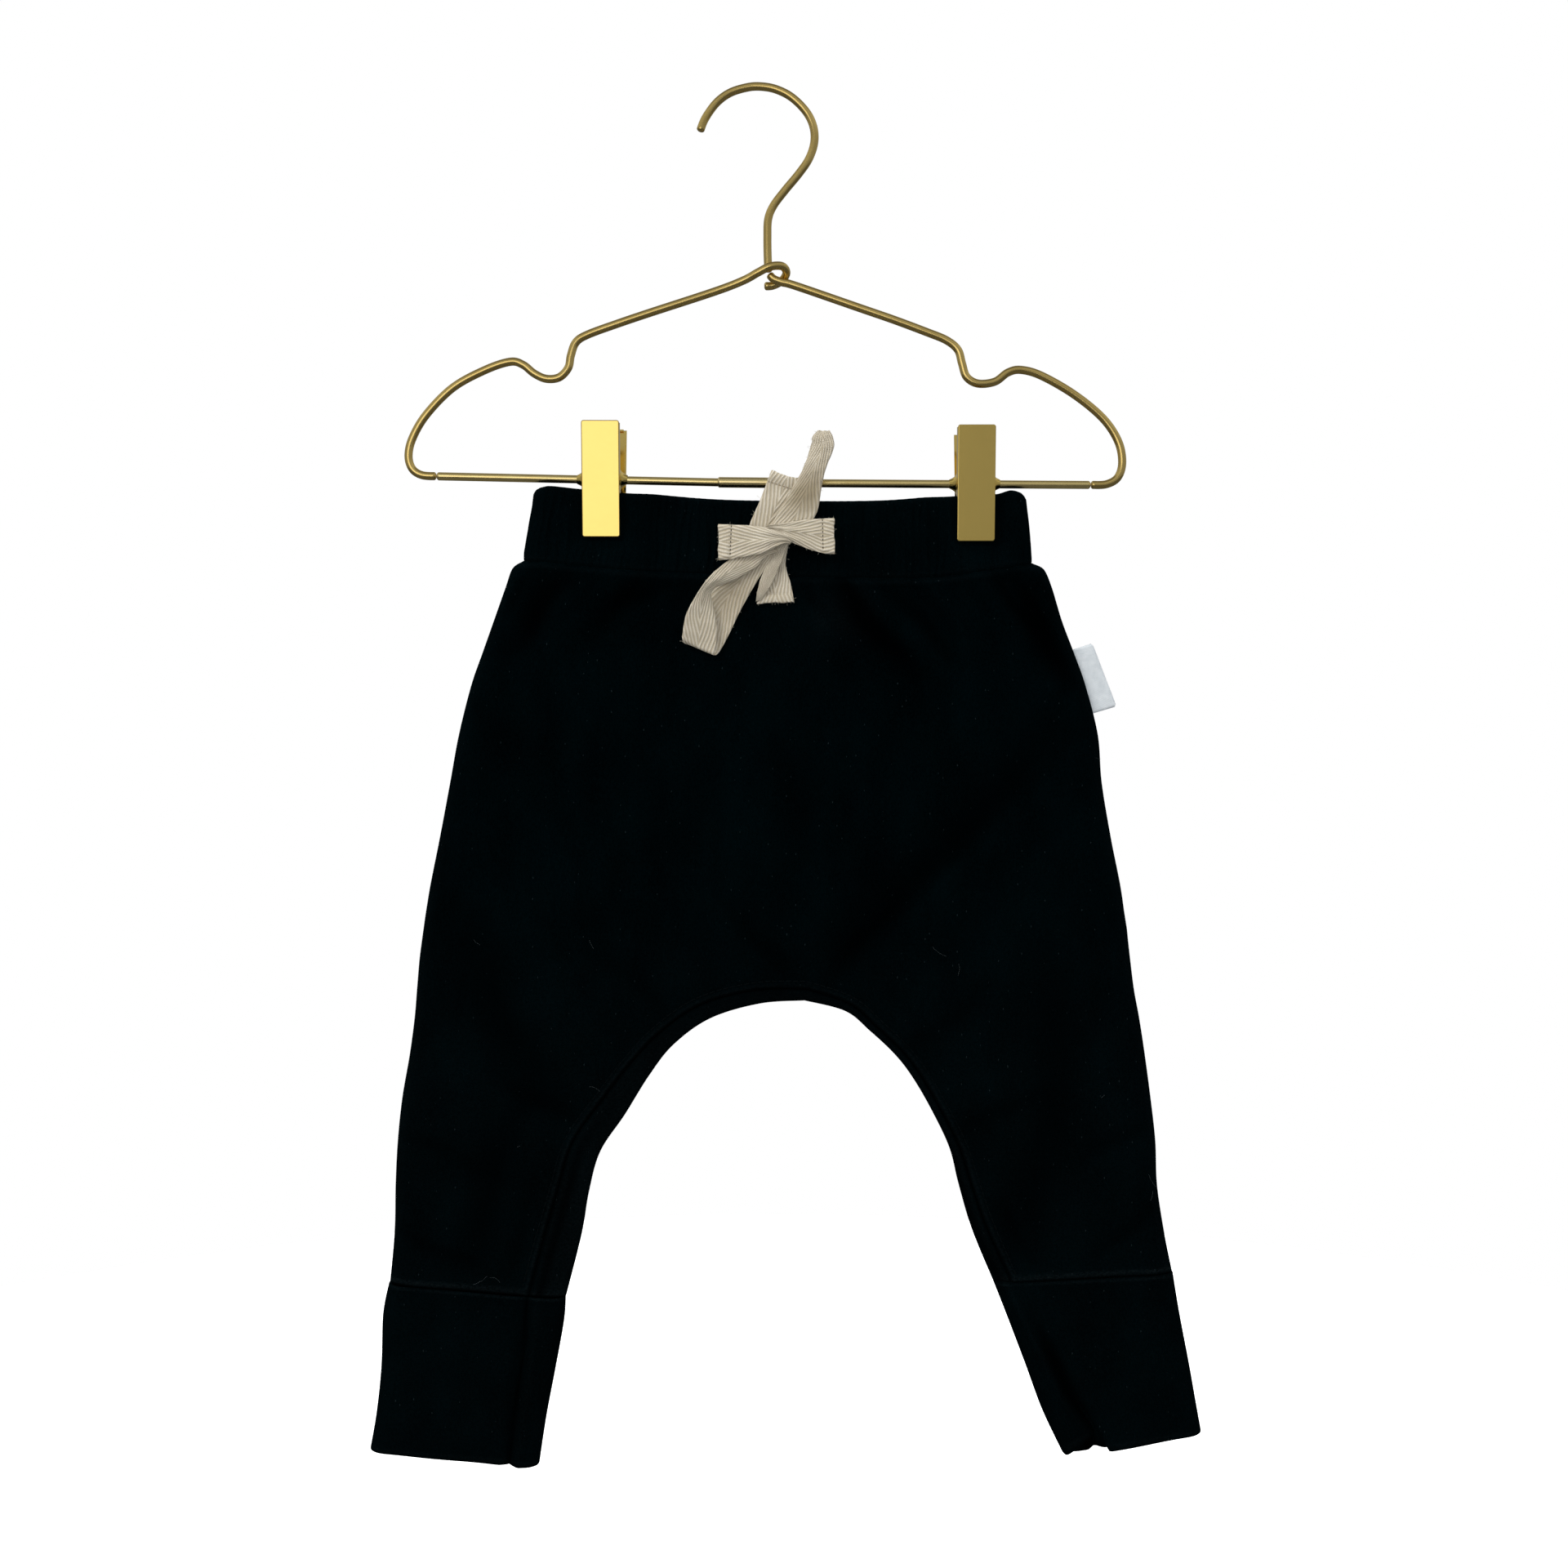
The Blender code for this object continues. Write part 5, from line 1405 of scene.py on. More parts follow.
@dataclass
class InseamStitching:
    """The topstitching that follows the inseam from cuff to cuff on the front."""

    panel: TrouserPanel
    offset: float = 3.2
    pitch: float = 2.9
    fill: float = 0.78
    radius: float = 0.24
    evened: int = 9

    def build(self) -> Item:
        """Makes the stitches, half sunk in their ditch."""
        outline = self.panel.outline
        padded = [np.pad(c, self.evened // 2, "edge") for c in outline.arch_inward.T]
        smoothed = np.array([np.convolve(c, np.ones(self.evened) / self.evened, "valid") for c in padded]).T
        flat = outline.arch + unit(smoothed) * (outline.arch_roll + self.offset)[:, None]
        x, z = flat[:, :1], flat[:, 1:]
        distance = outline.edge_distance(flat)[:, None]
        depth = np.interp(flat[:, 1], (-495.0, -380.0), (5.8, 7.3))[:, None]
        hem = np.full_like(x, 50.0)
        points, _ = self.panel.raised(x, z, distance, depth, hem, -1)
        line = points[:, 0, :] + np.array((0.0, -0.05, 0.0))
        item = joined("inseam_stitching", stitches_along(line, self.pitch, self.fill, self.radius))
        BLACK_THREAD.dress(item)
        return item


class Fibre(NamedTuple):
    """A loose fibre that lies on the cloth: where it starts, its heading, length and curl."""

    x: float
    z: float
    heading: float
    length: float
    curl: float


@dataclass
class Lint:
    """Fine pale fibres that cling to the front."""

    panel: TrouserPanel
    radius: float = 0.055
    waver: float = 8.0
    above: float = 0.16
    fibres: tuple[Fibre, ...] = table(
        Fibre,
        (22, -288, -88, 21, 25), (22.6, -308, -95, 12, -30), (20, -295, -70, 9, 60),
        (36.5, -309, -12, 6, -50), (132, -272, 150, 7, -170), (137.5, -276.5, -50, 5, 60),
        (124, -312, 80, 6, 190), (-58, -321, 20, 6.5, -150), (-40, -233.5, -60, 4, 40),
        (-38.5, -237, -85, 3, 30), (71, -355, -55, 8, 35), (82, -362, -70, 6, -40), (-71, -413.5, 5, 6, -50),
        (160.5, -449, -75, 8, 30), (162.5, -456, -85, 5, -35), (-100, -438.5, 30, 1.6, 0),
        (-119, -495, 8, 8, 40), (-112, -492.5, 24, 6, -80), (10, -330, 50, 5, 90), (5, -318, -40, 4, -70),
        (-88, -270, 40, 3.5, 60), (58, -262, 15, 3, -60), (-118, -352, -65, 4.5, 40), (-70, -352, -80, 5, 25),
        (98, -338, 70, 4, -50), (140, -418, 20, 2.5, 30),
    )

    def build(self) -> Item:
        """Makes every fibre as a thin bent thread just above the cloth."""
        parts = []
        for k, fibre in enumerate(self.fibres):
            steps = max(4, int(fibre.length / 0.9))
            waver = self.waver * np.sin(np.arange(steps) * 1.9 + k)
            turn = np.radians(fibre.heading + fibre.curl * np.linspace(0.0, 1.0, steps) + waver)
            step = fibre.length / steps
            x = (fibre.x + np.cumsum(np.cos(turn)) * step)[:, None]
            z = (fibre.z + np.cumsum(np.sin(turn)) * step)[:, None]
            flat = np.hstack([x, z])
            distance = self.panel.outline.edge_distance(flat)[:, None]
            points, _ = self.panel.raised(x, z, distance, np.full_like(x, 7.3), np.full_like(x, 50.0), -1)
            line = points[:, 0, :] + np.array((0.0, -self.above, 0.0))
            parts += [capsule(a, b, self.radius, 4) for a, b in zip(line, line[1:])]
        item = joined("lint_fibres", parts, 180.0)
        LINT.dress(item)
        return item


# ==== label
@dataclass
class SideLabel:
    """A small folded satin label, blank, that stands out of the right side seam."""

    corners: tuple[EdgePoint, ...] = table(
        EdgePoint,
        (131.4, -232.4), (137.6, -230.2), (148, -256.2), (140.6, -258.8),
    )
    fold_out: tuple[tuple[float, float], ...] = ((0.9, 0.1), (0.6, -0.2))
    half: float = 0.32
    tuck: float = 0.38
    fold_start: float = 0.86
    end_round: float = 0.05
    steps: int = 26
    wall: float = 0.22
    flat_size: tuple[float, float] = (0.028, 0.018)

    def build(self) -> Item:
        """Makes the label as a loop of satin that runs out, folds and comes back."""
        near_top, far_top, far_low, near_low = (np.array(c) for c in self.corners)
        far_top, far_low = far_top + self.fold_out[0], far_low + self.fold_out[1]
        near_top = near_top + (near_top - far_top) * self.tuck
        near_low = near_low + (near_low - far_low) * self.tuck
        along = np.linspace(0.0, 1.0, self.steps)[:, None]
        near = near_top * (1 - along) + near_low * along
        far = far_top * (1 - along) + far_low * along
        ends = np.clip(1.0 - np.minimum(along, 1.0 - along) / self.end_round, 0.0, 1.0) ** 2
        layers = []
        for side in (-1, 1):
            part = crowded(self.steps, 0.8)[::-side] * (1.0 - 0.07 * ends)
            x = near[:, :1] * (1 - part) + far[:, :1] * part
            z = near[:, 1:] * (1 - part) + far[:, 1:] * part
            bend = smooth((part - self.fold_start) / (1.0 - self.fold_start))
            gape = self.half * np.sqrt(np.maximum(0.0, 1.0 - bend**2))
            sway = 0.5 * np.sin(math.pi * along) * part
            sway += 0.25 * np.sin(2.4 * math.pi * along + 1.0) * part**2
            layers.append(np.stack([x, side * gape - sway, z], axis=-1))
        points = np.concatenate([layers[0], layers[1][:, 1:]], axis=1)
        item = mesh_piece("side_label_satin", points, grid_faces(*points.shape[:2]))
        tidy_mesh(item, 0.001)
        turn_to(item, (1.0, 0.0, 0.0))
        shell(item, self.wall)
        SATIN.dress(item)
        return item


# ==== bow
class TapeRow(NamedTuple):
    """A place along a tape: both its edges from the knot's centre, how far each stands out, and its cup."""

    ax: float
    az: float
    ay: float
    bx: float
    bz: float
    by: float
    cup: float


@dataclass
class TapeStrip:
    """One visible stretch of the tied tape."""

    name: str
    node: str
    rows: tuple[TapeRow, ...]
    length: float
    showing: float = 1.0
    hem_first: bool = False
    hem_last: bool = False
    sewn: SewingThread | None = None
    # Painted shade on the strip: where it centres along the run, its half width and its strength.
    soiled: Triples = ()
    knot: tuple[float, float] = (6.2, -189.0)
    thick: float = 0.9
    width: float = 15.0
    hem: float = 4.9
    hem_swell: float = 1.15
    pleat: float = 0.04
    pleats_across: float = 2.5
    across: int = 33
    crowding: float = 0.4
    per_span: int = 12
    flutter_waves: Triples = ((0.10, 1 / 1.9, 3.0), (0.07, 1 / 0.83, -5.0))
    selvedge: Triples = ((-0.45, 0.0, 0.7), (0.22, 1.1, 0.6))
    hem_groove: Triples = ((0.35, 0.0, 0.5),)
    stitch_pitch: float = 1.6
    stitch_fill: float = 0.52
    thread_radius: float = 0.26
    thread_lift: float = 0.10

    def centre_net(self) -> Array:
        """The middle surface of the tape, by place along it and across it."""
        rows = curve_through(np.array(self.rows), [self.per_span] * (len(self.rows) - 1))
        a = np.stack([self.knot[0] + rows[:, 0], -rows[:, 2], self.knot[1] + rows[:, 1]], axis=1)
        b = np.stack([self.knot[0] + rows[:, 3], -rows[:, 5], self.knot[1] + rows[:, 4]], axis=1)
        u = crowded(self.across, self.crowding)[None, :, None]
        net = a[:, None, :] * (1 - u) + b[:, None, :] * u
        net[:, :, 1] -= rows[:, 6:7] * (4 * u[:, :, 0] * (1 - u[:, :, 0]))
        uneven = 0.15 * np.sin(9.0 * u[0, :, 0] + 1.1) + 0.07 * np.sin(21.0 * u[0, :, 0])
        for wanted, end, inner in ((self.hem_first, 0, 1), (self.hem_last, -1, -2)):
            if wanted:
                net[end] += unit(net[end] - net[inner]) * uneven[:, None]
        return net

    def hems(self, run: Array) -> list[Array]:
        """How far each row is from each of the ends that are turned and sewn."""
        ends = ((self.hem_first, run), (self.hem_last, run[-1] - run))
        return [from_end for wanted, from_end in ends if wanted]

    def thickness(self, run: Array, u: Array, edge: Array) -> Array:
        """How thick the tape is at each point: firm at its selvedges and double over its hems."""
        firm = 1.0 + welts(edge, self.selvedge)
        thick = self.thick * firm[None, :] * np.ones((len(run), 1))
        for from_end in self.hems(run):
            turned = smooth((self.hem - from_end) / 0.8) * (1.0 - 0.5 * bell(from_end, 0.4))
            lumps = 0.16 * np.sin(33.0 * u[None, :] + 1.3) * np.sin(from_end[:, None] * 1.9)
            thick = thick * (1.0 + (self.hem_swell + lumps) * turned[:, None])
            thick = thick - welts(from_end - self.hem, self.hem_groove)[:, None]
        return thick

    def flutter(self, net: Array, run: Array, u: Array, edge: Array) -> Array:
        """How far each point leaves the plain middle surface, in ripples and in pleats where it narrows."""
        u, run = u[None, :], run[:, None]
        narrowed = np.clip(self.width - np.linalg.norm(net[:, -1] - net[:, 0], axis=1), 0.0, 9.0)[:, None]
        pleats = self.pleat * narrowed * np.cos(2 * math.pi * self.pleats_across * u)
        return swings(run, u, self.flutter_waves) + pleats * smooth(edge / 1.5)[None, :]

    def flat_net(self, run: Array, u: Array) -> Array:
        """Where each point lies on the flat tape, with the hems turned back along it."""
        place = run
        if self.hem_first:
            place = np.where(run < self.hem, 2 * self.hem - run, place)
        if self.hem_last:
            turned = run[-1] - self.hem
            place = np.where(run > turned, 2 * turned - run, place)
        return np.stack(np.broadcast_arrays(u[None, :] * self.width, place[:, None]), axis=-1).reshape(-1, 2)

    def painted_shade_share(self, run: Array, edge: Array) -> Array:
        """How much painted shade each point takes, from 0 to 1."""
        found = np.zeros((len(run), len(edge)))
        for middle, half, depth in self.soiled:
            along = depth * bell(run / run[-1] - middle, half)
            found += along[:, None] * (0.55 + 0.45 * smooth(edge / 4.0))[None, :]
        return np.clip(found, 0.0, 1.0).ravel()

    def sewing(self, run: Array, face: Array) -> list[Item]:
        """The stitches that hold the hems, on the layer that looks to the front."""
        parts = []
        for from_end in self.hems(run) if self.sewn else ():
            line = face[int(np.argmin(np.abs(from_end - self.hem)))][1:-1]
            lifted = line + np.array((0.0, -self.thread_lift, 0.0))
            parts += stitches_along(lifted, self.stitch_pitch, self.stitch_fill, self.thread_radius)
        if not parts:
            return []
        item = joined(self.name + "_stitches", parts)
        self.sewn.dress(item)
        return [item]

    def build(self) -> list[Item]:
        """Makes the tape, its turned hems and their stitches."""
        net = self.centre_net()
        normal = unit(np.cross(np.gradient(net, axis=0), np.gradient(net, axis=1)))
        steps = np.linalg.norm(np.diff(net.mean(axis=1), axis=0), axis=1)
        run = np.concatenate([[0.0], np.cumsum(steps)])
        u = crowded(self.across, self.crowding)
        edge = np.minimum(u, 1 - u) * self.width
        half = normal * self.thickness(run, u, edge)[:, :, None] / 2
        middle = net + normal * self.flutter(net, run, u, edge)[:, :, None]
        front, back = middle + half, middle - half
        points = np.concatenate([front.reshape(-1, 3), back.reshape(-1, 3)])
        item = mesh_piece(self.name, points, slab_faces(*net.shape[:2]))
        lay_out(item, np.tile(self.flat_net(run, u), (2, 1)))
        mark(item, "soiled", np.tile(self.painted_shade_share(run, edge), 2))
        tidy_mesh(item)
        TAPE.dress(item)
        faces_out = float(normal[:, :, 1].mean()) < 0.0
        return [item, *self.sewing(run, front if faces_out else back)]


def slab_faces(rows: int, columns: int) -> Faces:
    """The faces of a thin slab whose front net is followed by its back net."""
    faces = grid_faces(rows, columns)
    count = rows * columns
    faces = faces + [[count + i for i in reversed(face)] for face in faces]
    border = list(range(columns)) + [r * columns + columns - 1 for r in range(1, rows)]
    border += [(rows - 1) * columns + k for k in reversed(range(columns - 1))]
    border += [r * columns for r in reversed(range(1, rows - 1))]
    return faces + [[a, b, count + b, count + a] for a, b in zip(border, border[1:] + border[:1])]


@dataclass
class TapeFuzz:
    """Short loose fibres along the tape's selvedges and cut ends."""

    per_strip: int = 34
    radius: float = 0.045
    reach: tuple[float, float] = (0.25, 0.85)
    end_share: float = 0.25
    seed: int = 7

    def build(self, strips: Sequence[TapeStrip]) -> Item:
        """Makes every fibre as two short bent threads that point away from the tape."""
        chance = np.random.default_rng(self.seed)
        parts = []
        for strip in strips:
            net = strip.centre_net()
            rows = len(net)
            for _ in range(self.per_strip):
                row = int(chance.integers(1, rows - 1))
                edge = int(chance.integers(0, 2)) * -1
                at_end = chance.random() < self.end_share and (strip.hem_first or strip.hem_last)
                if at_end:
                    row = 0 if strip.hem_first else rows - 1
                    column = int(chance.integers(0, net.shape[1]))
                    away = net[row, column] - net[3 if row == 0 else rows - 4, column]
                else:
                    column = edge
                    away = net[row, edge] - net[row, net.shape[1] // 2]
                start = net[row, column]
                away = unit(away) + chance.normal(0.0, 0.45, 3)
                length = chance.uniform(*self.reach) / 2
                middle = start + away * length
                end = middle + (away + chance.normal(0.0, 0.6, 3)) * length
                parts += [capsule(start, middle, self.radius, 4), capsule(middle, end, self.radius, 4)]
        item = joined("tape_fuzz", parts, 180.0)
        FLUFF.dress(item)
        return item


def laid_tape(
    name: str, node: str, length: float, *rows: Sequence[float], **settings: object
) -> TapeStrip:
    """A stretch of the tape from plain rows of numbers."""
    return TapeStrip(name, node, table(TapeRow, *rows), length, **settings)


BOW_STRIPS = (
    laid_tape(
        "tape_tail_up", "bow_tail_up", 0.026,
        (-1.2, 29.2, 8.5, 12.6, 24.6, 8.5, 0), (-6, 16.7, 8.5, 8, 12.4, 8.5, 0),
        (-10.4, 6.3, 8.5, 3.3, 2.3, 8.5, 0), (-9.5, 3.4, 8.5, 3.4, 0.6, 8.5, 0),
        hem_first=True, sewn=CREAM_THREAD, soiled=((1.0, 0.25, 0.25),),
    ),
    laid_tape(
        "tape_loop_up", "bow_loop_up", 0.092,
        (-3.3, 2.3, 11.6, 12.4, 4.7, 11.6, 0), (1.7, 11.4, 11.8, 17.4, 11.4, 11.8, 0.4),
        (7.3, 20.7, 12, 19.4, 22, 12.4, 0.9), (11.7, 29.1, 12, 21, 29.1, 12.6, 1.1),
        (15.3, 38.2, 11.9, 24.2, 37.4, 12.2, 0.9), (15.6, 42.2, 11.7, 24.1, 41.8, 11.9, 0.5),
        (17.3, 44.3, 11, 23, 44.4, 11.2, 0.1), (17.5, 44.3, 10.1, 22.8, 44.4, 10.1, 0),
        (15.3, 40.2, 9.6, 22, 39.3, 9.6, 0), (12, 30, 9.7, 18.7, 27.4, 9.7, 0),
        (5.7, 19, 10, 14, 17.4, 10, 0), (-1, 4.5, 10.1, 9, 3.3, 10.1, 0),
        showing=0.65, pleat=0.012, soiled=((0.2, 0.1, 0.85), (0.45, 0.05, 0.15)),
    ),
    laid_tape(
        "tape_loop_down", "bow_loop_down", 0.098,
        (-7.6, 1.6, 11.9, 1.4, -4.6, 11.6, 0), (-13.4, -2.6, 12.2, -3.6, -6.9, 12, 0),
        (-18.4, -8, 12.8, -8, -11.4, 12.2, 0.3), (-25, -13.7, 14.6, -17, -16.4, 11.6, 0.8),
        (-30.4, -20.7, 16, -25.7, -20.7, 11.4, 1.2), (-35.7, -30.1, 14.6, -24.4, -29.4, 11.6, 1),
        (-37.4, -37.7, 12.6, -23.4, -38.7, 11.8, 0.4), (-37.6, -40.6, 11.3, -24.4, -46.2, 11.3, 0),
        (-36.6, -40.8, 9.4, -22.3, -45, 9.4, 0), (-30.1, -31.7, 8.9, -18.2, -37.4, 8.9, 0),
        (-25.4, -20, 9, -13, -26.7, 8.9, 0), (-16.7, -12, 9.7, -4.6, -12.6, 9.9, 0),
        (-9, -6.2, 10.4, 0.6, -6.6, 10.4, 0), (-1.4, 0.8, 10.9, 5.2, -0.8, 10.9, 0),
        showing=0.8, pleat=0.015, soiled=((0.0, 0.12, 0.3), (0.74, 0.13, 0.5)),
    ),
    laid_tape(
        "tape_tail_down", "bow_tail_down", 0.026,
        (0, -0.6, 8.8, 6, -0.6, 8.8, 0.3), (-2.6, -9.4, 8.8, 4.6, -9.4, 8.8, 0.3),
        (-5.6, -17.4, 8.8, 6.7, -17.2, 8.8, 0.2), (-7.2, -25.6, 8.8, 8.2, -24.9, 8.8, 0),
        showing=0.62, hem_last=True, hem=3.4, hem_swell=0.8,
    ),
    laid_tape(
        "tape_tail_down_fold", "", 0.025,
        (-0.2, 0.2, 10, 6, -0.2, 10.5, 0.6), (-1.2, -5.2, 10, 4.4, -4.8, 10.9, 0.8),
        (-3.7, -11, 9.9, 2.2, -10.4, 11, 0.8), (-5.9, -16.8, 9.8, -0.2, -16, 10.8, 0.6),
        (-7, -21.2, 9.6, -3, -20.8, 10.3, 0.3), (-7.5, -24.6, 9.4, -5.6, -24.4, 9.6, 0),
        showing=0.36, pleat=0.0,
    ),
    laid_tape(
        "tape_tie_right", "bow_tie_right", 0.029,
        (24.4, 9, 12.4, 24.7, -5.7, 12.4, 0), (19.7, 8.7, 12.7, 20, -5.3, 12.7, 0.1),
        (14, 8.4, 13.1, 14, -3.7, 13, 0.3), (6.7, 7.3, 13.2, 6.7, -0.7, 13.1, 0.5),
        (0, 6.3, 13.2, 0, 2.8, 13.1, 0.2), (-3.5, 5.7, 12.9, -3.5, 3.6, 12.9, 0.1),
        showing=0.7, hem_first=True, sewn=TAPE_THREAD,
    ),
    laid_tape(
        "tape_tie_left", "bow_tie_left", 0.031,
        (-22.7, 6.3, 13.8, -22.7, -8.4, 13.8, 0), (-17.4, 6, 14.2, -18, -8, 14.2, 0.1),
        (-11, 5.7, 14.6, -11.7, -7, 14.6, 0.3), (-4.7, 5, 14.9, -4.7, -5.7, 14.9, 0.5),
        (0.7, 3.2, 15, 0.7, -3, 15, 0.5), (5.3, 1.4, 14.8, 4.7, -1.5, 14.8, 0.2),
        (7.3, -0.2, 14.5, 6.4, -2, 14.5, 0.1),
        showing=0.75, hem_first=True, sewn=TAPE_THREAD,
    ),
)


@dataclass
class Bow:
    """The bow: two tails, two loops and the two ends of the knot."""

    strips: tuple[TapeStrip, ...] = BOW_STRIPS

    def build(self) -> list[list[Item]]:
        """Makes every strip, each with its stitches."""
        return [strip.build() for strip in self.strips]


# ==== hanger
@dataclass
class Wire:
    """A stretch of round wire along a smooth route."""

    name: str
    node: str
    route: tuple[Place, ...]
    radius: float = 1.7
    per_span: int = 7
    roundness: int = 10
    end_reach: float = 1.5
    finish: SatinGold = WIRE_GOLD
    end_steps: tuple[tuple[float, float], ...] = ((0.0, 0.55), (0.25, 0.82), (0.7, 1.0), (1.4, 1.0))

    def build(self) -> Item:
        """Makes the wire with softly rounded ends."""
        route = np.array(self.route)
        if len(route) > 2:
            route = curve_through(route, [self.per_span] * (len(route) - 1))
        else:
            route = np.linspace(route[0], route[1], 3 * self.per_span)
        start, end = route[0], route[-1]
        into, out = unit(route[1] - start), unit(route[-2] - end)
        gaps = np.minimum(*(np.linalg.norm(route - tip, axis=1) for tip in (start, end)))
        body = list(route[gaps > self.end_reach])
        places = [start + into * d for d, _ in self.end_steps] + body
        places += [end + out * d for d, _ in reversed(self.end_steps)]
        sizes = [s for _, s in self.end_steps] + [1.0] * len(body) + [s for _, s in reversed(self.end_steps)]
        curve = bpy.data.curves.new(self.name, "CURVE")
        curve.dimensions = "3D"
        curve.bevel_depth = self.radius * MM
        curve.bevel_resolution = self.roundness
        curve.use_fill_caps = True
        line = curve.splines.new("POLY")
        line.points.add(len(places) - 1)
        for point, place, size in zip(line.points, places, sizes):
            point.co = (*(np.array(place) * MM), 1.0)
            point.radius = size
        line.use_smooth = True
        item = add_piece(self.name, curve)
        self.finish.dress(item)
        return item


def in_plane(*pairs: tuple[float, float]) -> Triples:
    """Places in the hanger's middle plane, each from its x and z."""
    return tuple((x, 0.0, z) for x, z in pairs)


HOOK_ROUTE = in_plane(
    (-24.8, -17), (-22.6, -11.6), (-18, -5.2), (-12.4, -1), (-5.6, 1.2), (0, 1.7), (6.6, 0.6),
    (13.4, -2.8), (19.4, -8.8), (22.4, -15), (22.8, -21.6), (20.6, -28.4), (16.4, -34.6), (10.6, -41.6),
    (5.8, -48), (3.6, -53.6), (3.3, -61), (3.4, -69), (3.7, -75.6),
)
LEFT_SHOULDER_ROUTE = (
    (2, 3.7, -80.4), (5.6, 3.9, -80), (9.4, 2.9, -78.2), (11.2, 0, -75.8), (9.4, -2.8, -74),
    (4.4, -3.6, -74.4), (-0.6, -2.8, -76.6), (-6.8, -0.9, -79.4),
    *in_plane(
        (-18.7, -83.7), (-45.9, -92.6), (-59.5, -97.2), (-71.5, -101.6), (-76.4, -104.8), (-78.5, -110.2),
        (-79.6, -115.4), (-83.4, -119.4), (-88.8, -120), (-93.8, -117.8), (-98.4, -114.2),
        (-103.7, -112.9), (-113.9, -116.2), (-127.5, -123.6), (-138.6, -134.8), (-144.4, -144.6),
        (-146.1, -152), (-144.6, -157.4), (-140.6, -160.1), (-134.6, -160.6),
    ),
)
RIGHT_SHOULDER_ROUTE = in_plane(
    (4, -76.4), (5.8, -78.4), (9.4, -79.8), (15.3, -81.4), (42.5, -90.8), (56.1, -95.5), (69.7, -100.6),
    (77.9, -104), (82.6, -108), (84.3, -113.6), (86.2, -119.2), (91, -122), (98, -121.2),
    (103.4, -117.4), (108.8, -116.3), (117.3, -118.7), (130.9, -126.5), (142.8, -136.3), (149.2, -145.8),
    (151, -154.6), (149.2, -161), (144.4, -163.9), (138, -164.2),
)


def rounded_block(size: Place, corner: float, edge: float) -> bmesh.types.BMesh:
    """A block with round corners in its face and softened edges.

    Args:
        size: Its width, thickness and height.
        corner: The radius of the face's four corners.
        edge: The width of its softened edges.

    Returns:
        The block's mesh, in millimetres, centred on 0.
    """
    shape = bmesh.new()
    bmesh.ops.create_cube(shape, size=1.0)
    for vertex in shape.verts:
        vertex.co = [c * s for c, s in zip(vertex.co, size)]
    if corner:
        through = [e for e in shape.edges if abs(e.verts[0].co.y - e.verts[1].co.y) > 0.5 * size[1]]
        bmesh.ops.bevel(shape, geom=through, offset=corner, segments=5, profile=0.5, affect="EDGES")
    if edge:
        flats = [e for e in shape.edges if abs(e.verts[0].co.y - e.verts[1].co.y) < 1e-4]
        flats = [e for e in flats if len({f.normal.y > 0.9 or f.normal.y < -0.9 for f in e.link_faces}) == 2]
        bmesh.ops.bevel(shape, geom=flats, offset=edge, segments=3, profile=0.5, affect="EDGES")
    return shape


def block_parts(shape: bmesh.types.BMesh, turn: Callable[[Array], Array]) -> Part:
    """A mesh's points, moved by a function, and its faces."""
    shape.verts.index_update()
    points = turn(np.array([v.co[:] for v in shape.verts]))
    faces = [[v.index for v in f.verts] for f in shape.faces]
    shape.free()
    return points, faces


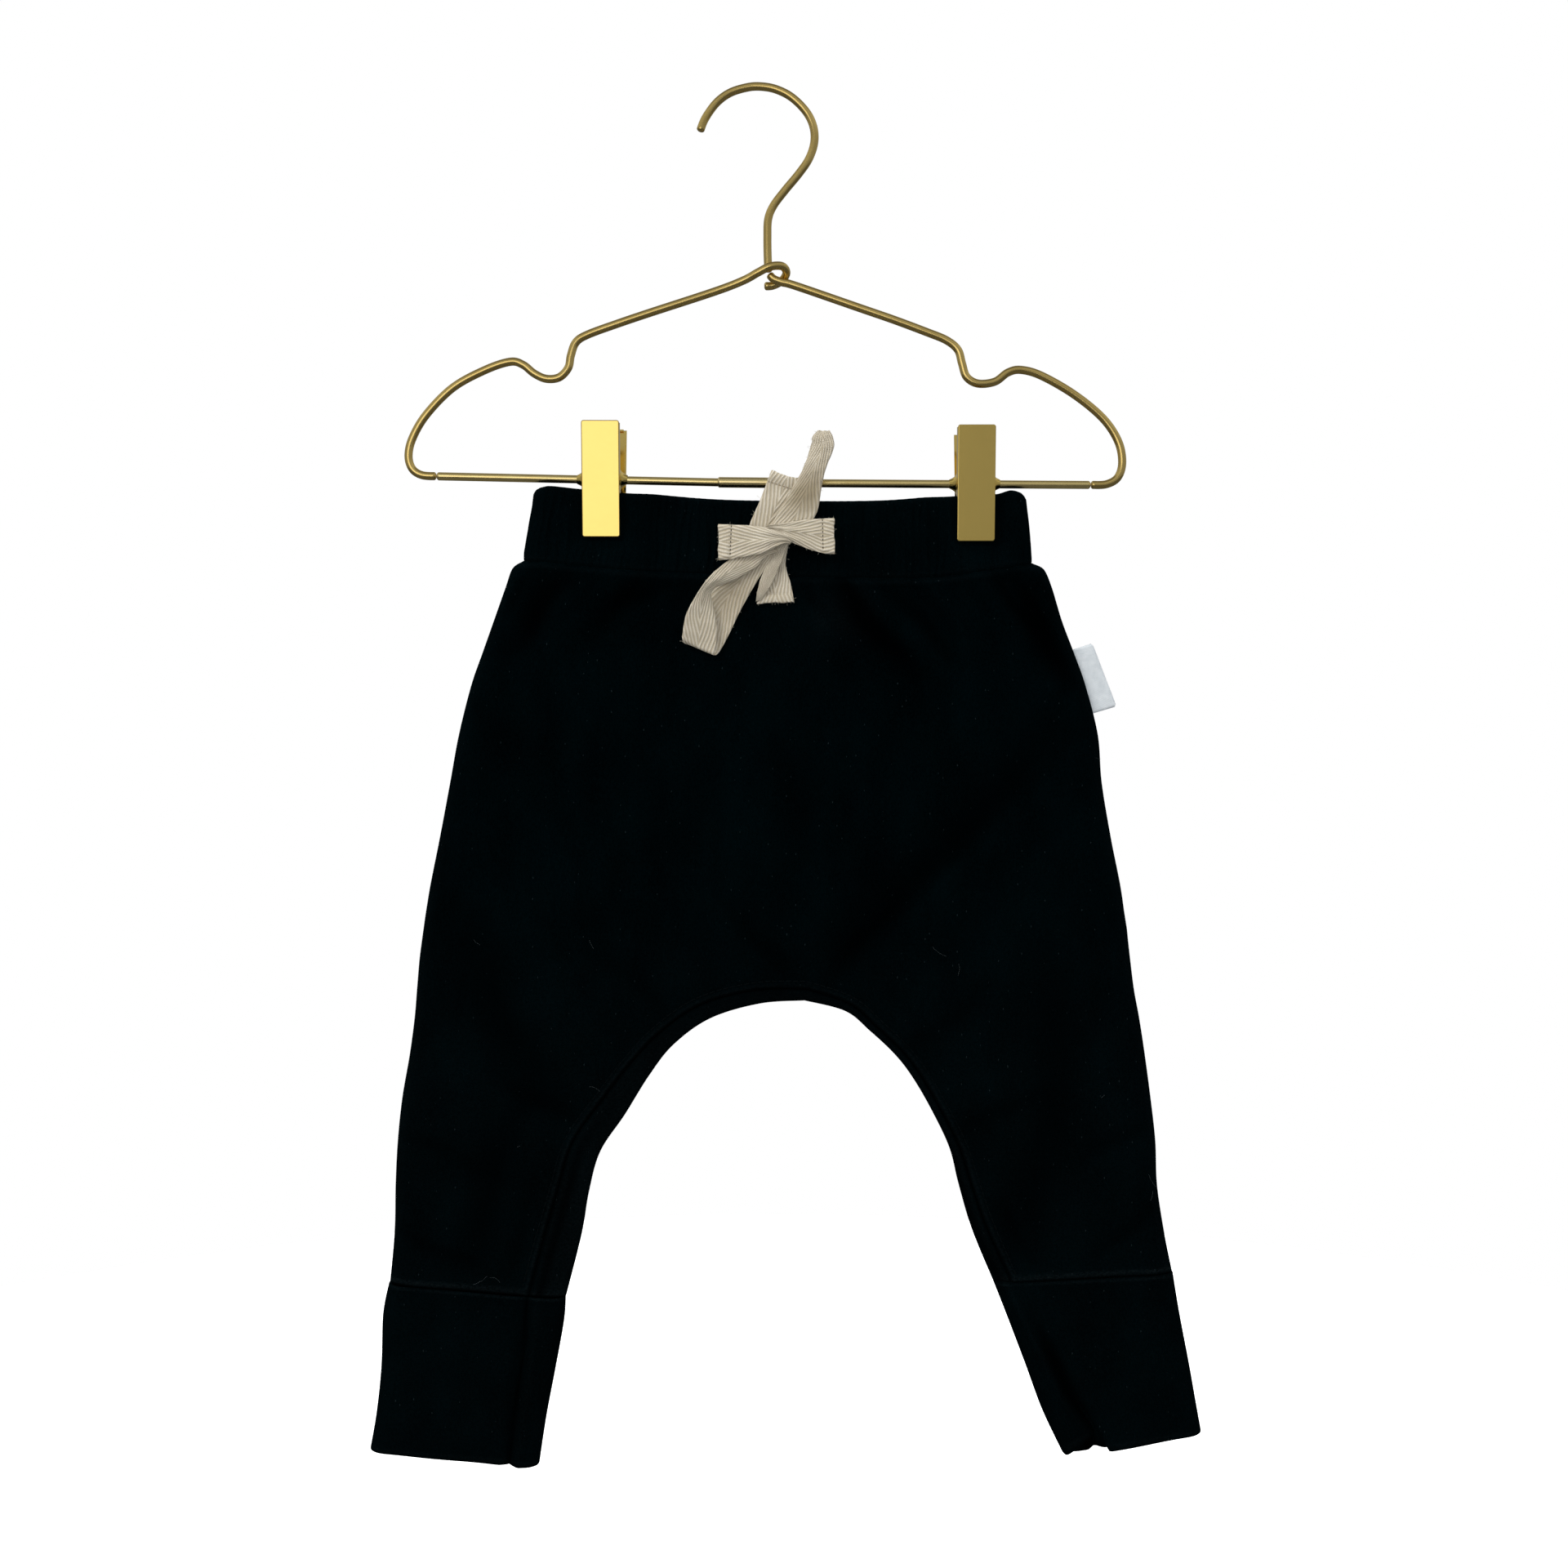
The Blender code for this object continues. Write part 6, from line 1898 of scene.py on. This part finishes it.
@dataclass
class BoxClip:
    """A box clip: two trays on the bar, sprung so that their jaws close on the band."""

    side: str
    x: float
    z: float
    yaw: float = 0.0
    width: float = 15.6
    height: float = 47.6
    plate_drop: float = 0.9
    out: float = 7.2
    tilt: float = 5.5
    back_tilt: float = 8.0
    crease: float = 50.0
    flat_over: float = 60.0
    skin: float = 0.8
    flange: float = 2.6
    splay: float = 0.08
    back_shift: float = 0.3
    corner: float = 1.0
    soft_edge: float = 0.38
    sunk: float = 0.02
    ear_gaps: tuple[float, float] = (6.9, 5.6)
    ear_radius: float = 3.4
    ear_half_height: float = 5.0
    ear_half_thick: float = 0.4
    boss_rings: tuple[tuple[float, float], ...] = (
        (6.95, 4.6), (7.4, 4.4), (7.9, 3.7), (8.4, 3.05), (9.0, 2.6), (9.6, 2.25), (10.2, 2.0),
        (10.5, 1.85), (10.5, 1.75),
    )
    pad: Place = (13.4, 0.9, 9.0)
    pad_out: float = 3.85
    pad_drop: float = 18.0
    coils: int = 8
    coil_radius: float = 2.75
    coil_half: float = 4.2
    coil_steps: int = 22
    wire: float = 0.45

    def leaned(self, facing: int) -> Callable[[Array], Array]:
        """A move from a plate's own frame to where it leans on the bar."""
        turn = math.radians(self.tilt if facing < 0 else self.back_tilt)
        spin = math.radians(self.yaw) * -facing

        def move(points: Array) -> Array:
            x, y, z = points.T
            x, y = x * math.cos(spin) - y * math.sin(spin), x * math.sin(spin) + y * math.cos(spin)
            y, z = y * math.cos(turn) + z * math.sin(turn), z * math.cos(turn) - y * math.sin(turn)
            shift = self.back_shift if facing > 0 else 0.0
            out = facing * (self.out + y)
            return np.stack([self.x + shift + x, out, self.z - self.plate_drop + z], axis=1)

        return move

    def tray(self, facing: int) -> list[Part]:
        """The face plate with its four turned-back flanges."""
        move = self.leaned(facing)
        face = rounded_block((self.width, self.skin, self.height), self.corner, self.soft_edge)
        parts = [block_parts(face, move)]
        inward = self.skin / 2 + self.sunk
        for hand in (-1, 1):
            at = np.array((hand * (self.width / 2 - inward), 0.0, 0.0))
            splay = np.array(((1.0, 0.0, 0.0), (-hand * self.splay, 1.0, 0.0), (0.0, 0.0, 1.0)))
            behind = np.array((0.0, self.flange / 2, 0.0))
            lip = rounded_block((self.skin, self.flange, self.height - 1.8), 0.0, 0.0)
            parts.append(block_parts(lip, lambda p, at=at, splay=splay: move((p - behind) @ splay + at)))
            at = np.array((0.0, -0.27 * self.flange, hand * (self.height / 2 - inward)))
            lip = rounded_block((self.width - 2.6, 0.55 * self.flange, self.skin), 0.0, 0.0)
            parts.append(block_parts(lip, lambda p, at=at: move(p + at)))
        return parts

    def ears(self, facing: int) -> list[Part]:
        """The two ears that carry a plate on the bar, round about it."""
        turns = np.linspace(-math.pi / 2, math.pi / 2, 15)
        reach = self.out - 0.6
        rim = [(-self.ear_radius * math.cos(t), self.ear_radius * math.sin(t)) for t in turns]
        profile = np.array([(reach, -self.ear_half_height), *rim, (reach, self.ear_half_height)])
        n = len(profile)
        faces = end_caps(n, n)
        faces += [[k, n + k, n + (k + 1) % n, (k + 1) % n] for k in range(n)]
        parts = []
        for hand in (-1, 1):
            at = np.array((self.x + hand * self.ear_gaps[facing > 0], 0.0, self.z))
            layers = [
                np.column_stack([np.full(n, aside), facing * profile[:, 0], profile[:, 1]])
                for aside in (-self.ear_half_thick, self.ear_half_thick)
            ]
            parts.append((np.vstack(layers) + at, faces))
        return parts

    def boss(self, hand: int) -> Part:
        """The bell that flares from the bar to a front ear."""
        turns = ring_turns(28)
        rings = [
            [(self.x + hand * a, r * math.sin(t), self.z + r * math.cos(t)) for t in turns]
            for a, r in self.boss_rings
        ]
        return np.array(rings), grid_faces(len(rings), len(turns), wrap=True)

    def spring(self) -> Part:
        """The coil round the bar, with an arm down behind each plate."""
        angle = np.linspace(0.0, 2 * math.pi * self.coils, self.coils * self.coil_steps + 1)
        run = np.linspace(-self.coil_half, self.coil_half, len(angle))
        coil = np.column_stack([run, self.coil_radius * np.cos(angle), self.coil_radius * np.sin(angle)])
        first = np.array([(-4.4, 5.2, -9.0), (-4.3, 4.2, -4.0)])
        last = np.array([(4.35, -3.5, -3.5), (4.4, -5.2, -9.0)])
        return tube_along(np.vstack([first, coil, last]) + np.array((self.x, 0.0, self.z)), self.wire, 8)

    def build(self) -> dict[str, Item]:
        """Makes the clip's pieces, by the node that each stands for."""
        made = {}
        for facing, word in ((-1, "front"), (1, "back")):
            parts = self.tray(facing) + self.ears(facing)
            if facing < 0:
                parts += [self.boss(-1), self.boss(1)]
            plate = joined(f"{self.side}_clip_{word}_plate", parts, self.crease)
            tidy_mesh(plate)
            for face in plate.data.polygons:
                face.use_smooth = face.area < self.flat_over * MM**2
            PLATE_GOLD.dress(plate)
            made[f"clip_{self.side}_{word}_plate"] = plate
            at = np.array((self.x, facing * self.pad_out, self.z - self.pad_drop))
            pad = block_parts(rounded_block(self.pad, 1.0, 0.25), lambda p, at=at: p + at)
            item = joined(f"{self.side}_clip_{word}_pad", [pad], self.crease)
            RUBBER.dress(item)
            made[f"clip_{self.side}_{word}_pad"] = item
        coil = joined(f"{self.side}_clip_spring", [self.spring()], 60.0)
        WIRE_GOLD.dress(coil)
        made[f"clip_{self.side}_spring"] = coil
        return made


def tube_along(line: Array, radius: float, sides: int) -> Part:
    """A closed tube along a line.

    Args:
        line: The line's points.
        radius: The tube's radius.
        sides: How many sides it has.

    Returns:
        Its points and faces.
    """
    ways = unit(np.gradient(line, axis=0))
    aside = np.cross(ways[0], (0.31, 0.17, 0.93))
    turns = ring_turns(sides)
    rings = []
    for place, way in zip(line, ways):
        aside = unit(aside - way * (aside @ way))
        third = np.cross(way, aside)
        rings.append(place + radius * (np.cos(turns)[:, None] * aside + np.sin(turns)[:, None] * third))
    last = (len(line) - 1) * sides
    return np.vstack(rings), grid_faces(len(line), sides, wrap=True) + end_caps(sides, last)


@dataclass
class Hanger:
    """The wire hanger: hook, twisted neck, notched shoulders, sleeved bar and two clips."""

    wires: tuple[Wire, ...] = (
        Wire("hook_wire", "hook", HOOK_ROUTE),
        Wire("left_shoulder_wire", "shoulder_left", LEFT_SHOULDER_ROUTE),
        Wire("right_shoulder_wire", "shoulder_right", RIGHT_SHOULDER_ROUTE),
        Wire("left_bar_wire", "bar_left", in_plane((-134.3, -160.6), (-14.0, -163.2)), finish=BAR_GOLD_PAINTED_BRIGHT),
        Wire("right_bar_wire", "bar_right", in_plane((20.5, -163.5), (137.7, -164.2)), finish=BAR_GOLD_PAINTED_BRIGHT),
        Wire("bar_sleeve_tube", "bar_sleeve", in_plane((-17.5, -163.1), (24.0, -163.5)), 2.2,
             finish=SLEEVE_GOLD_PAINTED_BRIGHT),
    )
    clips: tuple[BoxClip, ...] = (
        BoxClip("left", -65.4, -162.0, yaw=-1.2, back_shift=1.4),
        BoxClip("right", 89.5, -163.8, yaw=1.2),
    )

    def build(self) -> dict[str, Item]:
        """Makes every piece of the hanger, by the node that it stands for."""
        made = {wire.node: wire.build() for wire in self.wires}
        for clip in self.clips:
            made.update(clip.build())
        return made


# ==== stage, light and camera
class Softbox(NamedTuple):
    """A soft light, and whether the metal mirrors it. Lengths are in metres and power in watts."""

    name: str
    place: Place
    size: tuple[float, float]
    power: float
    tint: Place
    mirrored: bool = False


@dataclass
class Studio:
    """A plain pale floor, soft studio light and the camera at the photograph's angle, in metres."""

    distance: float = 0.70
    view_width: float = 0.6528
    middle: Place = (0.0102, 0.0, -0.2887)
    sensor: float = 36.0
    nearest: float = 0.05
    floor_height: float = -0.75
    floor_radius: float = 1.1
    aim: Place = (0.01, 0.0, -0.26)
    lamps: tuple[Softbox, ...] = (
        Softbox("key_softbox", (-0.75, -0.75, 0.35), (0.5, 0.5), 7.0, (1.0, 0.985, 0.96)),
        Softbox("fill_softbox", (0.6, -0.85, -0.35), (0.5, 0.9), 3.3, (0.96, 0.98, 1.0)),
        Softbox("top_softbox", (0.0, -0.1, 0.75), (0.9, 0.5), 5.0, (1.0, 1.0, 1.0)),
        Softbox("back_softbox", (0.1, 0.9, 0.1), (0.9, 0.9), 5.0, (1.0, 1.0, 1.0)),
        Softbox("left_card", (-0.30, -0.95, -0.105), (0.68, 0.55), 1.335, (1.0, 0.965, 0.98), True),
    )
    room: tuple[tuple[float, float], ...] = (
        (0.0, 0.11), (0.37, 0.10), (0.445, 0.27), (0.475, 0.30), (0.53, 0.30), (0.65, 0.30), (0.75, 0.42),
        (0.84, 0.52), (0.935, 0.20), (1.0, 0.17),
    )

    def floor(self) -> None:
        """Makes the floor, which only the camera and shadows know of."""
        turns = ring_turns(64)
        across, deep = np.cos(turns) * self.floor_radius, np.sin(turns) * self.floor_radius
        points = np.stack([across, deep, np.full(64, self.floor_height)], axis=1)
        item = mesh_piece("pale_floor", points / MM, [list(range(64))])
        PaleFloor().dress(item)
        item.visible_glossy = False
        item.visible_diffuse = False

    def lamp(self, box: Softbox) -> None:
        """Adds a soft light that looks at the garment."""
        light = bpy.data.lights.new(box.name, "AREA")
        light.shape = "RECTANGLE"
        light.size, light.size_y = box.size
        light.energy = box.power
        light.color = box.tint
        item = add_piece(box.name, light)
        item.visible_glossy = box.mirrored
        item.location = box.place
        item.rotation_mode = "QUATERNION"
        item.rotation_quaternion = (Vector(self.aim) - Vector(box.place)).to_track_quat("-Z", "Y")

    def world(self) -> None:
        """White to the eye, and a softer grey room, by height, in light and reflections."""
        world = bpy.data.worlds.new("studio")
        bpy.context.scene.world = world
        world.use_nodes = True
        world.node_tree.nodes.clear()
        tree = Nodes(world.node_tree)
        way = tree.add("TexCoord").outputs["Generated"]
        height = tree.add("SeparateXYZ", {0: way}).outputs["Z"]
        level = tree.add("MapRange", {"Value": height, "From Min": -1.0, "From Max": 1.0}).outputs[0]
        shades = tree.add("ValToRGB", {"Fac": level})
        ramp = shades.color_ramp
        ramp.interpolation = "EASE"
        ramp.elements[0].position, ramp.elements[1].position = self.room[0][0], self.room[-1][0]
        for position, _ in self.room[1:-1]:
            ramp.elements.new(position)
        for element, (_, grey) in zip(ramp.elements, self.room):
            element.color = (grey, grey, grey, 1.0)
        room = tree.add("Background", {"Color": shades.outputs["Color"], "Strength": 1.0}).outputs[0]
        seen = tree.add("Background", {"Color": (1.0, 1.0, 1.0, 1.0), "Strength": 1.0}).outputs[0]
        to_eye = tree.add("LightPath").outputs["Is Camera Ray"]
        mixed = tree.add("MixShader", {0: to_eye, 1: room, 2: seen}).outputs[0]
        tree.add("OutputWorld", {"Surface": mixed})

    def camera(self) -> None:
        """Sets the camera where the photograph was taken from."""
        lens = bpy.data.cameras.new("photo_camera")
        lens.sensor_width = self.sensor
        lens.lens = self.sensor * self.distance / self.view_width
        lens.clip_start = self.nearest
        item = add_piece("photo_camera", lens)
        item.location = (self.middle[0], -self.distance, self.middle[2])
        item.rotation_euler = (math.radians(90), 0.0, 0.0)
        bpy.context.scene.camera = item

    def build(self) -> None:
        """Sets up the whole studio."""
        self.camera()
        self.floor()
        self.world()
        for box in self.lamps:
            self.lamp(box)
        settings = bpy.context.scene.view_settings
        settings.view_transform = "Standard"
        settings.look = "None"


def settle(piece: Item, *nodes: str) -> None:
    """Rides a piece on the part's body and lets it stand for its nodes."""
    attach(piece, BODY)
    if nodes:
        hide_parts(*nodes)
    LOG.info("%s stands for %s", piece.name, ", ".join(nodes) or "nothing in the frame")


def main() -> None:
    """Builds the garment, the bow, the hanger and the studio, and reports each piece."""
    logging.basicConfig(level=logging.INFO, format="%(message)s")
    outline = Outline(HalfCut(LEFT_SECTIONS), HalfCut(RIGHT_SECTIONS))
    front = TrouserPanel("front_cloth", Side.FRONT, outline, FRONT_FOLDS, FRONT_CREASES)
    back = TrouserPanel("back_cloth", Side.BACK, outline, BACK_FOLDS, BACK_CREASES)
    for panel, node in ((front, "front_panel"), (back, "back_panel")):
        cloth = panel.build()
        settle(cloth, node)
    band = Waistband()
    cloth = band.build()
    settle(cloth, "waistband")
    left = Cuff("left_cuff_cloth", LEFT_CUFF, groove=0.5, groove_width=0.009, shade_width=0.016)
    right = Cuff("right_cuff_cloth", RIGHT_CUFF, notch=9.0, groove_width=0.03, shade_width=0.08,
                 shade_start=0.2, shade_from=0.2)
    for cuff, node in ((left, "left_cuff"), (right, "right_cuff")):
        cloth = cuff.build()
        settle(cloth, node)
    settle(InseamStitching(front).build())
    settle(Lint(front).build())
    label = SideLabel()
    satin = label.build()
    settle(satin, "side_label")
    bow = Bow()
    for strip, (tape, *sewing) in zip(bow.strips, bow.build()):
        settle(tape, *([strip.node] if strip.node else []))
        for stitches in sewing:
            settle(stitches)
    settle(TapeFuzz().build(bow.strips))
    for node, piece in Hanger().build().items():
        settle(piece, node)
    Studio().build()


if __name__ == "__main__":
    main()
